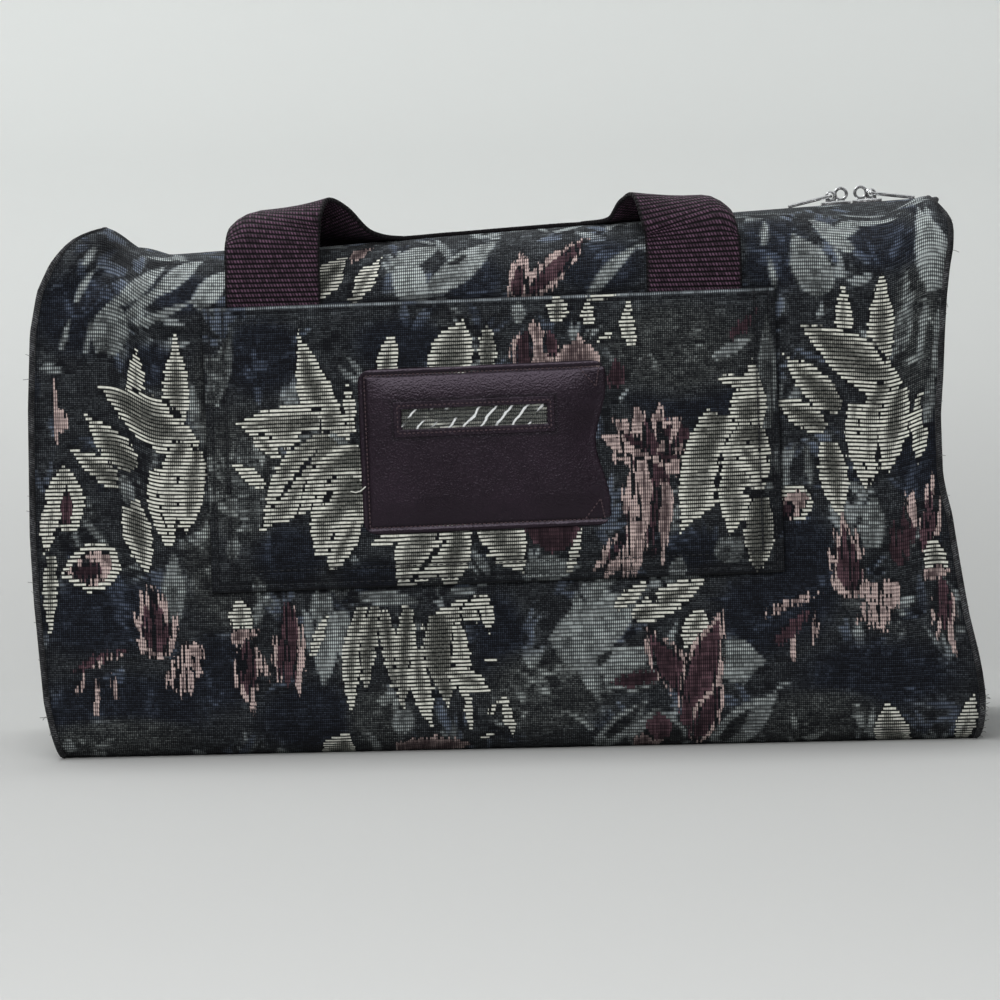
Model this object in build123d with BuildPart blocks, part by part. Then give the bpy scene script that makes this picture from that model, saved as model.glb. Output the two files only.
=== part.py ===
import os
from math import cos, pi, sin

from build123d import *

os.makedirs("parts", exist_ok=True)

# Driving dimensions in millimetres, X along the bag, front face towards -Y, Z up

# Cloth body
half_depth = 96.0
wall = 2.5
base_radius = 16.0
shoulder_radius = 28.0
ridge_radius = 20.0
station_x = 200.0
zip_bed_half = 20.0
bed_left_z = 198.0
bed_right_z = 219.4
shoulder_left_z = 197.0
shoulder_right_z = 213.0
zip_slot_half = 11.0
seam_gap = 0.1

# End panels, each bent along an upright arc
arc_low_z = -30.0
arc_mid_z = 95.0
arc_high_z = 250.0
left_low_x = -171.6
left_mid_x = -189.72
left_high_x = -163.0
right_low_x = 199.15
right_mid_x = 174.2
right_high_x = 193.0

# Piped seam at each end
piping_proud = 2.4
piping_lap = 2.6

# Front pocket
pocket_x = -4.4
pocket_z = 124.4
pocket_width = 229.0
pocket_height = 114.0
pocket_tilt = 0.9
pocket_gap = 5.0
pocket_sheet = 1.6
pocket_hem = 6.0
pocket_corner = 3.0

# Name patch with its window
patch_x = -7.9
patch_z = 121.9
patch_width = 99.0
patch_height = 66.0
patch_tilt = 1.2
patch_thick = 1.5
patch_corner = 4.0
notch_depth = 5.0
notch_height = 46.0
window_x = -3.6
window_z = 12.4
window_width = 58.6
window_height = 8.2
film_thick = 0.5
film_gap = 0.1
frame_width = 64.4
frame_height = 14.2
frame_proud = 0.6

# Webbing handles
webbing_width = 38.0
webbing_thick = 2.0
webbing_gap = 0.2
left_leg_inset = 27.8
right_leg_inset = 33.0
leg_low_z = 112.0
front_arch_z = 221.0
front_arch_span = 36.0
front_arch_radius = 17.0
lying_gap = 0.4
lying_reach = 38.0
rear_arch_z = 192.0
rear_arch_span = 11.0
rear_arch_radius = 5.0
rear_hang_z = 150.0
rear_drop = 46.0
rear_swing = 9.0
grip_steps = 16

# Zip
tape_thick = 0.8
tape_reach = 17.0
tape_left_x = -168.0
tape_right_x = 178.0
slit_half = 0.6
tooth_pitch = 3.0
tooth_width = 1.6
tooth_length = 2.0
row_reach = 4.2
row_high = 2.2

# Sliders and their pulls
slide_gap = 0.35
plate_thick = 1.3
plate_half_length = 6.0
top_plate_half = 5.0
low_plate_half = 4.5
post_half = 0.25
post_back = 1.5
post_front = 5.0
meet_x = 145.9
meet_gap = 0.8
crown_s = -2.0
crown_high = 2.4
crown_bore = 1.15
crown_rim = 0.95
crown_half = 1.1
eye_s = 2.3
eye_high = 3.0
eye_radius = 3.0
eye_bore = 1.7
eye_half = 0.8
pull_length = 18.0
pull_thick = 1.4
pull_pin = 0.75
pull_half = 2.9
pull_slot_half = 1.6
pull_slot_start = 0.45
pull_tip = 2.0
pull_droop = 10.0

# Values that follow from the ones above
webbing_half = webbing_thick / 2
left_leg_x = pocket_x - pocket_width / 2 + left_leg_inset
right_leg_x = pocket_x + pocket_width / 2 - right_leg_inset
back_leg_y = half_depth + webbing_gap + webbing_half
rear_hang_y = back_leg_y + rear_arch_span
grip_y = rear_hang_y + rear_swing
front_reach = half_depth + seam_gap + pocket_gap + pocket_sheet + seam_gap + patch_thick + frame_proud
back_reach = grip_y + webbing_width / 2
mid_y = (front_reach - back_reach) / 2
tape_top = -wall - seam_gap
tape_low = tape_top - tape_thick
plate_low = tape_top + row_high + slide_gap
plate_top = plate_low + plate_thick
pivot_high = plate_top + crown_high
reach = station_x * 2


def side_plane(x):
    return Plane(origin=(x, mid_y, 0), x_dir=(0, 1, 0), z_dir=(1, 0, 0))


def front_plane(y):
    return Plane(origin=(0, mid_y + y, 0), x_dir=(1, 0, 0), z_dir=(0, -1, 0))


zip_rise = (bed_right_z - bed_left_z) / (station_x * 2)
zip_mid_z = (bed_left_z + bed_right_z) / 2
zip_along = Vector(1, 0, zip_rise).normalized()
zip_plane = Plane(origin=(0, mid_y, zip_mid_z), x_dir=zip_along, z_dir=(-zip_along.Z, 0, zip_along.X))


# Upright plane through the zip, u away from the pull and v up from the cloth
def slider_plane(x, facing):
    return Plane(
        origin=(x, mid_y, zip_mid_z + zip_rise * x), x_dir=zip_along * facing, z_dir=(0, -facing, 0)
    )


# Loaf shaped form of the bag, grown outwards by an amount
def loaf_form(grow):
    half = half_depth + grow
    stations = ((-station_x, bed_left_z, shoulder_left_z), (station_x, bed_right_z, shoulder_right_z))
    with BuildPart() as form:
        for x, bed_z, shoulder_z in stations:
            with BuildSketch(side_plane(x)):
                with BuildLine():
                    FilletPolyline(
                        (-half, -grow),
                        (half, -grow),
                        (half, shoulder_z + grow),
                        (zip_bed_half, bed_z + grow),
                        (-zip_bed_half, bed_z + grow),
                        (-half, shoulder_z + grow),
                        radius=[
                            base_radius + grow,
                            base_radius + grow,
                            shoulder_radius + grow,
                            ridge_radius + grow,
                            ridge_radius + grow,
                            shoulder_radius + grow,
                        ],
                        close=True,
                    )
                make_face()
        loft(ruled=True)
    return form.part


# Block between the two bent ends, each end moved inwards by its own amount
def end_block(left_in, right_in):
    with BuildPart() as block:
        with BuildSketch(front_plane(0)):
            with BuildLine():
                ThreePointArc(
                    (left_low_x + left_in, arc_low_z),
                    (left_mid_x + left_in, arc_mid_z),
                    (left_high_x + left_in, arc_high_z),
                )
                Line((left_high_x + left_in, arc_high_z), (right_high_x - right_in, arc_high_z))
                ThreePointArc(
                    (right_high_x - right_in, arc_high_z),
                    (right_mid_x - right_in, arc_mid_z),
                    (right_low_x - right_in, arc_low_z),
                )
                Line((right_low_x - right_in, arc_low_z), (left_low_x + left_in, arc_low_z))
            make_face()
        extrude(amount=half_depth * 2, both=True)
    return block.part


outer_form = loaf_form(0)
inner_form = loaf_form(-wall)
piping_form = loaf_form(piping_proud)
hollow_form = loaf_form(-piping_lap)
whole_block = end_block(0, 0)

# Body cloth, one wrap round the front, base, back and top, open along the zip
with BuildPart() as body_panel:
    add(outer_form)
    add(inner_form, mode=Mode.SUBTRACT)
    add(end_block(wall + seam_gap, wall + seam_gap), mode=Mode.INTERSECT)
    with BuildSketch(zip_plane):
        Rectangle(reach, zip_slot_half * 2)
    extrude(amount=wall * 2, both=True, mode=Mode.SUBTRACT)
body_panel.part.label = "body_panel"
export_step(body_panel.part, "parts/body_panel.step")

# End panels
with BuildPart() as left_end_panel:
    add(outer_form)
    add(whole_block, mode=Mode.INTERSECT)
    add(end_block(wall, -reach), mode=Mode.SUBTRACT)
left_end_panel.part.label = "left_end_panel"
export_step(left_end_panel.part, "parts/left_end_panel.step")

with BuildPart() as right_end_panel:
    add(outer_form)
    add(whole_block, mode=Mode.INTERSECT)
    add(end_block(-reach, wall), mode=Mode.SUBTRACT)
right_end_panel.part.label = "right_end_panel"
export_step(right_end_panel.part, "parts/right_end_panel.step")

# Space that the bag itself and the floor take away from the piping
with BuildPart() as bag_space:
    add(outer_form)
    add(whole_block, mode=Mode.INTERSECT)
with BuildPart() as floor_space:
    with BuildSketch(Plane.XY):
        Rectangle(reach * 2, reach * 2)
    extrude(amount=arc_low_z)

# Piped seams round the two ends
with BuildPart() as left_piping:
    add(piping_form)
    add(end_block(-piping_proud, 0), mode=Mode.INTERSECT)
    add(end_block(piping_lap, -reach), mode=Mode.SUBTRACT)
    add(hollow_form, mode=Mode.SUBTRACT)
    add(bag_space.part, mode=Mode.SUBTRACT)
    add(floor_space.part, mode=Mode.SUBTRACT)
left_piping.part.label = "left_piping"
export_step(left_piping.part, "parts/left_piping.step")

with BuildPart() as right_piping:
    add(piping_form)
    add(end_block(0, -piping_proud), mode=Mode.INTERSECT)
    add(end_block(-reach, piping_lap), mode=Mode.SUBTRACT)
    add(hollow_form, mode=Mode.SUBTRACT)
    add(bag_space.part, mode=Mode.SUBTRACT)
    add(floor_space.part, mode=Mode.SUBTRACT)
right_piping.part.label = "right_piping"
export_step(right_piping.part, "parts/right_piping.step")

# Front pocket, sewn down at its sides and base and open at the top
pocket_y = -(half_depth + seam_gap)
pocket_front_y = pocket_y - pocket_gap - pocket_sheet
with BuildPart() as front_pocket:
    with BuildSketch(front_plane(pocket_y)):
        with Locations(Location((pocket_x, pocket_z), pocket_tilt)):
            RectangleRounded(pocket_width, pocket_height, pocket_corner)
    extrude(amount=pocket_gap + pocket_sheet)
    with BuildSketch(front_plane(pocket_y)):
        with Locations(Location((pocket_x, pocket_z), pocket_tilt)):
            with Locations((0, pocket_hem)):
                Rectangle(pocket_width - pocket_hem * 2, pocket_height)
    extrude(amount=pocket_gap, mode=Mode.SUBTRACT)
front_pocket.part.label = "front_pocket"
export_step(front_pocket.part, "parts/front_pocket.step")

# Name patch, open at its right side with a thumb notch
patch_y = pocket_front_y - seam_gap
notch_radius = (notch_height**2 / 4 + notch_depth**2) / (notch_depth * 2)
with BuildPart() as id_patch:
    with BuildSketch(front_plane(patch_y)):
        with Locations(Location((patch_x, patch_z), patch_tilt)):
            RectangleRounded(patch_width, patch_height, patch_corner)
            with Locations((patch_width / 2 + notch_radius - notch_depth, 0)):
                Circle(notch_radius, mode=Mode.SUBTRACT)
            with Locations((window_x, window_z)):
                Rectangle(window_width, window_height, mode=Mode.SUBTRACT)
    extrude(amount=patch_thick)
id_patch.part.label = "id_patch"
export_step(id_patch.part, "parts/id_patch.step")

# Raised binding round the window
with BuildPart() as window_binding:
    with BuildSketch(front_plane(patch_y - patch_thick)):
        with Locations(Location((patch_x, patch_z), patch_tilt)):
            with Locations((window_x, window_z)):
                Rectangle(frame_width, frame_height)
                Rectangle(window_width, window_height, mode=Mode.SUBTRACT)
    extrude(amount=frame_proud)
window_binding.part.label = "window_binding"
export_step(window_binding.part, "parts/window_binding.step")

# Clear film set in the window
with BuildPart() as id_window:
    with BuildSketch(front_plane(patch_y)):
        with Locations(Location((patch_x, patch_z), patch_tilt)):
            with Locations((window_x, window_z)):
                Rectangle(window_width - film_gap * 2, window_height - film_gap * 2)
    extrude(amount=film_thick)
id_window.part.label = "id_window"
export_step(id_window.part, "parts/id_window.step")

# Front handle, up out of the pocket, over, and lying along the top before the zip
lying_y = -back_leg_y + front_arch_span
with BuildPart() as front_handle:
    for leg_x in (left_leg_x, right_leg_x):
        land_z = zip_mid_z + zip_rise * leg_x + lying_gap + webbing_half
        with BuildLine(side_plane(leg_x)) as leg_path:
            FilletPolyline(
                (-back_leg_y, leg_low_z),
                (-back_leg_y, front_arch_z - webbing_half),
                (lying_y, front_arch_z - webbing_half),
                (lying_y, land_z),
                radius=min(front_arch_radius, front_arch_z - webbing_thick - land_z),
            )
        with BuildSketch(Plane(origin=leg_path.line @ 0, x_dir=(1, 0, 0), z_dir=(0, 0, 1))):
            Rectangle(webbing_width, webbing_thick)
        sweep()
    with BuildSketch(zip_plane.offset(lying_gap)):
        with Locations(((left_leg_x + right_leg_x) / 2, lying_y - webbing_half)):
            Rectangle(
                right_leg_x - left_leg_x + webbing_width,
                lying_reach,
                align=(Align.CENTER, Align.MIN),
            )
    extrude(amount=webbing_thick)
front_handle.part.label = "front_handle"
export_step(front_handle.part, "parts/front_handle.step")

# Rear handle, hanging behind the bag, its grip turned on edge
leg_mid_x = (left_leg_x + right_leg_x) / 2
leg_half = (right_leg_x - left_leg_x) / 2
with BuildPart() as rear_handle:
    for leg_x in (left_leg_x, right_leg_x):
        with BuildLine(side_plane(leg_x)) as rear_path:
            FilletPolyline(
                (back_leg_y, leg_low_z),
                (back_leg_y, rear_arch_z - webbing_half),
                (rear_hang_y, rear_arch_z - webbing_half),
                (rear_hang_y, rear_hang_z),
                radius=rear_arch_radius,
            )
        with BuildSketch(Plane(origin=rear_path.line @ 0, x_dir=(1, 0, 0), z_dir=(0, 0, 1))):
            Rectangle(webbing_width, webbing_thick)
        sweep()
    for step in range(grip_steps + 1):
        share = step / grip_steps
        turn = pi * share
        along = Vector(leg_half * sin(turn), 0, -rear_drop * cos(turn)).normalized()
        across = Vector(-along.Z, 0, along.X)
        tilt = pi / 2 * sin(turn) ** 2
        spot = (
            leg_mid_x - leg_half * cos(turn),
            mid_y + rear_hang_y + rear_swing * sin(turn) ** 2,
            rear_hang_z - rear_drop * sin(turn),
        )
        width_dir = across * cos(tilt) + Vector(0, sin(tilt), 0)
        with BuildSketch(Plane(origin=spot, x_dir=width_dir, z_dir=along)):
            Rectangle(webbing_width, webbing_thick)
    loft(ruled=True)
rear_handle.part.label = "rear_handle"
export_step(rear_handle.part, "parts/rear_handle.step")


# Zip tapes, sewn under the two turned edges of the cloth
def tape_half(side):
    with BuildPart() as tape:
        with BuildSketch(zip_plane.offset(tape_low)):
            with Locations(((tape_left_x + tape_right_x) / 2, side * (slit_half + tape_reach) / 2)):
                Rectangle(tape_right_x - tape_left_x, tape_reach - slit_half)
        extrude(amount=tape_thick)
    return tape.part


# One comb of teeth on a tape, drawn as a single outline
def tooth_row(side, phase):
    root = side * (slit_half + tooth_length)
    tip = side * slit_half
    back = side * row_reach
    start = tape_left_x + tooth_pitch
    count = int((tape_right_x - tape_left_x - tooth_pitch * 3) / tooth_pitch)
    outline = [(start, back), (start, root)]
    for tooth in range(count):
        left = start + tooth * tooth_pitch + phase
        right = left + tooth_width
        outline += [(left, root), (left, tip), (right, tip), (right, root)]
    finish = start + count * tooth_pitch + tooth_width
    outline += [(finish, root), (finish, back)]
    with BuildPart() as row:
        with BuildSketch(zip_plane.offset(tape_top)):
            with BuildLine():
                Polyline(outline, close=True)
            make_face()
        extrude(amount=row_high)
    return row.part


with BuildPart() as zip_tape_front:
    add(tape_half(-1))
zip_tape_front.part.label = "zip_tape_front"
export_step(zip_tape_front.part, "parts/zip_tape_front.step")

with BuildPart() as zip_tape_back:
    add(tape_half(1))
zip_tape_back.part.label = "zip_tape_back"
export_step(zip_tape_back.part, "parts/zip_tape_back.step")

with BuildPart() as zip_teeth_front:
    add(tooth_row(-1, tooth_pitch / 4))
zip_teeth_front.part.label = "zip_teeth_front"
export_step(zip_teeth_front.part, "parts/zip_teeth_front.step")

with BuildPart() as zip_teeth_back:
    add(tooth_row(1, tooth_pitch * 3 / 4))
zip_teeth_back.part.label = "zip_teeth_back"
export_step(zip_teeth_back.part, "parts/zip_teeth_back.step")


# Slider with two plates, a dividing post, a crown for the pull and an eye for a lock
def slider(x, facing):
    plane = slider_plane(x, facing)
    low_top = tape_low - slide_gap
    with BuildPart() as body:
        with BuildSketch(plane):
            with Locations((0, plate_low)):
                Rectangle(plate_half_length * 2, plate_thick, align=(Align.CENTER, Align.MIN))
        extrude(amount=top_plate_half, both=True)
        with BuildSketch(plane):
            with Locations((0, low_top)):
                Rectangle(plate_half_length * 2, plate_thick, align=(Align.CENTER, Align.MAX))
        extrude(amount=low_plate_half, both=True)
        with BuildSketch(plane):
            with Locations((post_back, low_top - plate_thick)):
                Rectangle(
                    post_front - post_back,
                    plate_top - low_top + plate_thick,
                    align=(Align.MIN, Align.MIN),
                )
        extrude(amount=post_half, both=True)
        with BuildSketch(plane):
            with Locations((crown_s, plate_low)):
                Rectangle(
                    (crown_bore + crown_rim) * 2,
                    pivot_high - plate_low,
                    align=(Align.CENTER, Align.MIN),
                )
            with Locations((crown_s, pivot_high)):
                Circle(crown_bore + crown_rim)
                Circle(crown_bore, mode=Mode.SUBTRACT)
        extrude(amount=crown_half, both=True)
        with BuildSketch(plane):
            with Locations((eye_s, plate_low)):
                Rectangle(eye_radius, plate_thick + eye_high, align=(Align.CENTER, Align.MIN))
            with Locations((eye_s, plate_top + eye_high)):
                Circle(eye_radius)
                Circle(eye_bore, mode=Mode.SUBTRACT)
        extrude(amount=eye_half, both=True)
    return body.part


# Pull, a narrow loop whose end bar runs through the crown
def pull(x, facing):
    plane = slider_plane(x, facing)
    with BuildPart() as loop:
        with BuildSketch(plane):
            with Locations(Location((crown_s, pivot_high), pull_droop)):
                Rectangle(pull_length, pull_thick, align=(Align.MAX, Align.CENTER))
                Circle(pull_pin)
        extrude(amount=pull_half, both=True)
        with BuildSketch(plane):
            with Locations(Location((crown_s, pivot_high), pull_droop)):
                with Locations((-pull_slot_start, 0)):
                    Rectangle(
                        pull_length - pull_slot_start - pull_tip,
                        pull_thick * 2,
                        align=(Align.MAX, Align.CENTER),
                    )
        extrude(amount=pull_slot_half, both=True, mode=Mode.SUBTRACT)
    return loop.part


left_slider_x = meet_x - meet_gap / 2 - plate_half_length
right_slider_x = meet_x + meet_gap / 2 + plate_half_length

with BuildPart() as slider_left:
    add(slider(left_slider_x, 1))
slider_left.part.label = "slider_left"
export_step(slider_left.part, "parts/slider_left.step")

with BuildPart() as slider_right:
    add(slider(right_slider_x, -1))
slider_right.part.label = "slider_right"
export_step(slider_right.part, "parts/slider_right.step")

with BuildPart() as pull_left:
    add(pull(left_slider_x, 1))
pull_left.part.label = "pull_left"
export_step(pull_left.part, "parts/pull_left.step")

with BuildPart() as pull_right:
    add(pull(right_slider_x, -1))
pull_right.part.label = "pull_right"
export_step(pull_right.part, "parts/pull_right.step")
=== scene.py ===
import math

import bmesh
import bpy
import numpy as np
from mathutils import Matrix, Vector


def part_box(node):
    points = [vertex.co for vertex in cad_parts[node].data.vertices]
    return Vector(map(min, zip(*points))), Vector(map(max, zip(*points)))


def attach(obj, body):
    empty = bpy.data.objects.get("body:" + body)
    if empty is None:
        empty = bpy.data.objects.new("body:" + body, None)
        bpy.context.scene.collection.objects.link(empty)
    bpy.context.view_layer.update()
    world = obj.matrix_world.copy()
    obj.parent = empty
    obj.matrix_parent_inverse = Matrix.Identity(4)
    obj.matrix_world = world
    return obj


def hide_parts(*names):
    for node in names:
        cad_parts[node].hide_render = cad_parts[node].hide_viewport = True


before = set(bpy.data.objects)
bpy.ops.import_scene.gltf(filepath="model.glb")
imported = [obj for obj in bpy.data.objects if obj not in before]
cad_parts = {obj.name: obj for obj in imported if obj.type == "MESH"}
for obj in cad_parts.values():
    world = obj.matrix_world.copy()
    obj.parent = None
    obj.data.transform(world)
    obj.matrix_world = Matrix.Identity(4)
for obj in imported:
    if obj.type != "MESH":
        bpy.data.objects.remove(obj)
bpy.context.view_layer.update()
mm = 0.001

# where the photograph's pixels lie on the front of the bag; sizes here are millimetres until set in a mesh
photo = {"mmPerPixel": 0.4, "midColumn": 505, "midRow": 480, "roll": 0.0218, "floorRow": 267.3}


def fromPhoto(column, row):
    over, down = column - photo["midColumn"], row - photo["midRow"]
    x = photo["mmPerPixel"] * (over - photo["roll"] * down)
    z = photo["mmPerPixel"] * (photo["floorRow"] - photo["roll"] * over - down)
    return x, z


def nodeBox(name):
    low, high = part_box(name)
    return np.array(low) / mm, np.array(high) / mm


def fade(value, start, over):
    # 0 up to the start, then rising to 1 over the given length
    return np.clip((value - start) / over, 0, 1)


def eased(share):
    # level at both ends
    return share * share * (3 - 2 * share)


def ridge(gap, half):
    # 1 on a line, nothing well away from it
    return np.exp(-((gap / half) ** 2))


def spot(x, z, middle, half):
    # 1 at a point, nothing well away from it
    return np.exp(-(((x - middle[0]) / half[0]) ** 2 + ((z - middle[1]) / half[1]) ** 2))


def tilted(piece, across, up):
    # x and z of a point given from the middle of a piece that leans on the front
    lean = math.radians(piece["tilt"])
    x = piece["middle"][0] + across * math.cos(lean) - up * math.sin(lean)
    z = piece["middle"][1] + across * math.sin(lean) + up * math.cos(lean)
    return x, z


bodyLow, bodyHigh = nodeBox("body_panel")
midY = (bodyLow[1] + bodyHigh[1]) / 2
halfDepth = (bodyHigh[1] - bodyLow[1]) / 2
frontFace = midY - halfDepth
pocketFront = nodeBox("front_pocket")[0][1]


# node helpers

def srgb(red, green, blue):
    parts = [c / 255 for c in (red, green, blue)]
    return tuple(c / 12.92 if c < 0.04045 else ((c + 0.055) / 1.055) ** 2.4 for c in parts) + (1,)


def feed(tree, value, socket):
    if isinstance(value, bpy.types.NodeSocket):
        tree.links.new(value, socket)
    else:
        socket.default_value = value


def calc(tree, operation, *values):
    node = tree.nodes.new("ShaderNodeMath")
    node.operation = operation
    for place, value in enumerate(values):
        feed(tree, value, node.inputs[place])
    return node.outputs[0]


def times(tree, first, second):
    return calc(tree, "MULTIPLY", first, second)


def plus(tree, first, second):
    return calc(tree, "ADD", first, second)


def scaled(tree, value, factor, offset):
    return calc(tree, "MULTIPLY_ADD", value, factor, offset)


def axes(tree, place):
    node = tree.nodes.new("ShaderNodeSeparateXYZ")
    tree.links.new(place, node.inputs[0])
    return tuple(node.outputs)


def fromMiddle(tree, value):
    # how far a value lies from the middle of its own unit: 0 there, a half at either end
    return calc(tree, "ABSOLUTE", calc(tree, "SUBTRACT", calc(tree, "FRACT", value), 0.5))


def ramp(tree, value, low, high, start=0.0, end=1.0):
    node = tree.nodes.new("ShaderNodeMapRange")
    node.interpolation_type = "SMOOTHSTEP"
    for place, part in enumerate((value, low, high, start, end)):
        feed(tree, part, node.inputs[place])
    return node.outputs[0]


def mix(tree, share, first, second, how="MIX"):
    node = tree.nodes.new("ShaderNodeMix")
    node.data_type = "RGBA"
    node.blend_type = how
    for place, value in ((0, share), (6, first), (7, second)):
        feed(tree, value, node.inputs[place])
    return node.outputs[2]


def pair(tree, first, second):
    node = tree.nodes.new("ShaderNodeCombineXYZ")
    feed(tree, first, node.inputs[0])
    feed(tree, second, node.inputs[1])
    return node.outputs[0]


def noise(tree, place, scale, detail=2.0, rough=0.5):
    node = tree.nodes.new("ShaderNodeTexNoise")
    feed(tree, place, node.inputs["Vector"])
    node.inputs["Scale"].default_value = scale
    node.inputs["Detail"].default_value = detail
    node.inputs["Roughness"].default_value = rough
    return node.outputs[0]


def scatter(tree, place):
    node = tree.nodes.new("ShaderNodeTexWhiteNoise")
    node.noise_dimensions = "2D"
    feed(tree, place, node.inputs["Vector"])
    return node.outputs[0]


def attribute(tree, name):
    node = tree.nodes.new("ShaderNodeAttribute")
    node.attribute_name = name
    return node.outputs["Fac"]


def objectPlace(tree):
    return tree.nodes.new("ShaderNodeTexCoord").outputs["Object"]


def uvPlace(tree):
    return tree.nodes.new("ShaderNodeUVMap").outputs[0]


def bump(tree, height, distance, strength=1.0, normal=None):
    node = tree.nodes.new("ShaderNodeBump")
    node.inputs["Strength"].default_value = strength
    node.inputs["Distance"].default_value = distance
    tree.links.new(height, node.inputs["Height"])
    if normal is not None:
        tree.links.new(normal, node.inputs["Normal"])
    return node.outputs[0]


def newMaterial(name, roughness=0.9, sheen=0.0, metallic=0.0, specular=0.5):
    material = bpy.data.materials.new(name)
    material.use_nodes = True
    surface = material.node_tree.nodes["Principled BSDF"]
    surface.inputs["Roughness"].default_value = roughness
    surface.inputs["Metallic"].default_value = metallic
    surface.inputs["Sheen Weight"].default_value = sheen
    surface.inputs["Specular IOR Level"].default_value = specular
    return material, material.node_tree, surface


def newGroup(name, inputs, outputs):
    group = bpy.data.node_groups.new(name, "ShaderNodeTree")
    for label, kind in inputs:
        group.interface.new_socket(label, in_out="INPUT", socket_type=kind)
    for label, kind in outputs:
        group.interface.new_socket(label, in_out="OUTPUT", socket_type=kind)
    return group, group.nodes.new("NodeGroupInput"), group.nodes.new("NodeGroupOutput")


def useGroup(tree, group, **values):
    node = tree.nodes.new("ShaderNodeGroup")
    node.node_tree = group
    for label, value in values.items():
        feed(tree, value, node.inputs[label])
    return node.outputs


# threads of a weave, counted by the piece's own map: one unit a thread
def threadGroup():
    group, given, out = newGroup(
        "threads",
        [("Place", "NodeSocketVector")],
        [(n, "NodeSocketFloat") for n in
         ("Warp", "Weft", "Long", "Dots", "Cell", "Run", "Fleck", "Upright")],
    )
    across, beat, _ = axes(group, given.outputs["Place"])
    # the loom's beat is uneven, so the picks waver
    drift = noise(group, pair(group, times(group, across, 0.11), beat), 0.7, 2.0)
    along = plus(group, beat, scaled(group, drift, 0.5, -0.25))
    column, row = calc(group, "FLOOR", across), calc(group, "FLOOR", along)
    inColumn, inRow = fromMiddle(group, across), fromMiddle(group, along)
    doubled = times(group, along, 2.0)
    inDot = fromMiddle(group, doubled)
    runs = calc(group, "FLOOR", times(group, across, 0.19))
    warp = ramp(group, inColumn, 0.2, 0.46, 1.0, 0.0)
    # upright strokes: single warps, each broken at its own heights
    phase = times(group, scatter(group, pair(group, column, 0.29)), 7.0)
    block = calc(group, "FLOOR", scaled(group, along, 0.17, phase))
    results = {
        "Warp": warp,
        "Weft": ramp(group, inRow, 0.12, 0.36, 1.0, 0.0),
        "Long": ramp(group, inRow, 0.16, 0.36, 1.0, 0.0),
        "Dots": times(group, warp, ramp(group, inDot, 0.2, 0.46, 1.0, 0.0)),
        "Cell": scatter(group, pair(group, column, row)),
        "Run": scatter(group, pair(group, runs, plus(group, row, 0.61))),
        "Fleck": scatter(group, pair(group, column, plus(group, calc(group, "FLOOR", doubled), 0.37))),
        "Upright": scatter(group, pair(group, column, plus(group, block, 0.73))),
    }
    for label, value in results.items():
        group.links.new(value, out.inputs[label])
    return group


threads = threadGroup()


# colours of the tapestry yarns
yarn = {
    "ground": srgb(15, 16, 20), "sage": srgb(206, 214, 212), "navy": srgb(108, 120, 142),
    "ivory": srgb(241, 241, 230), "ivoryGap": srgb(14, 16, 16), "ivoryWarp": srgb(92, 94, 90),
    "rose": srgb(214, 192, 187), "roseDeep": srgb(42, 29, 35),
    "wine": srgb(106, 80, 88), "wineDeep": srgb(26, 19, 24),
}


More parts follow.
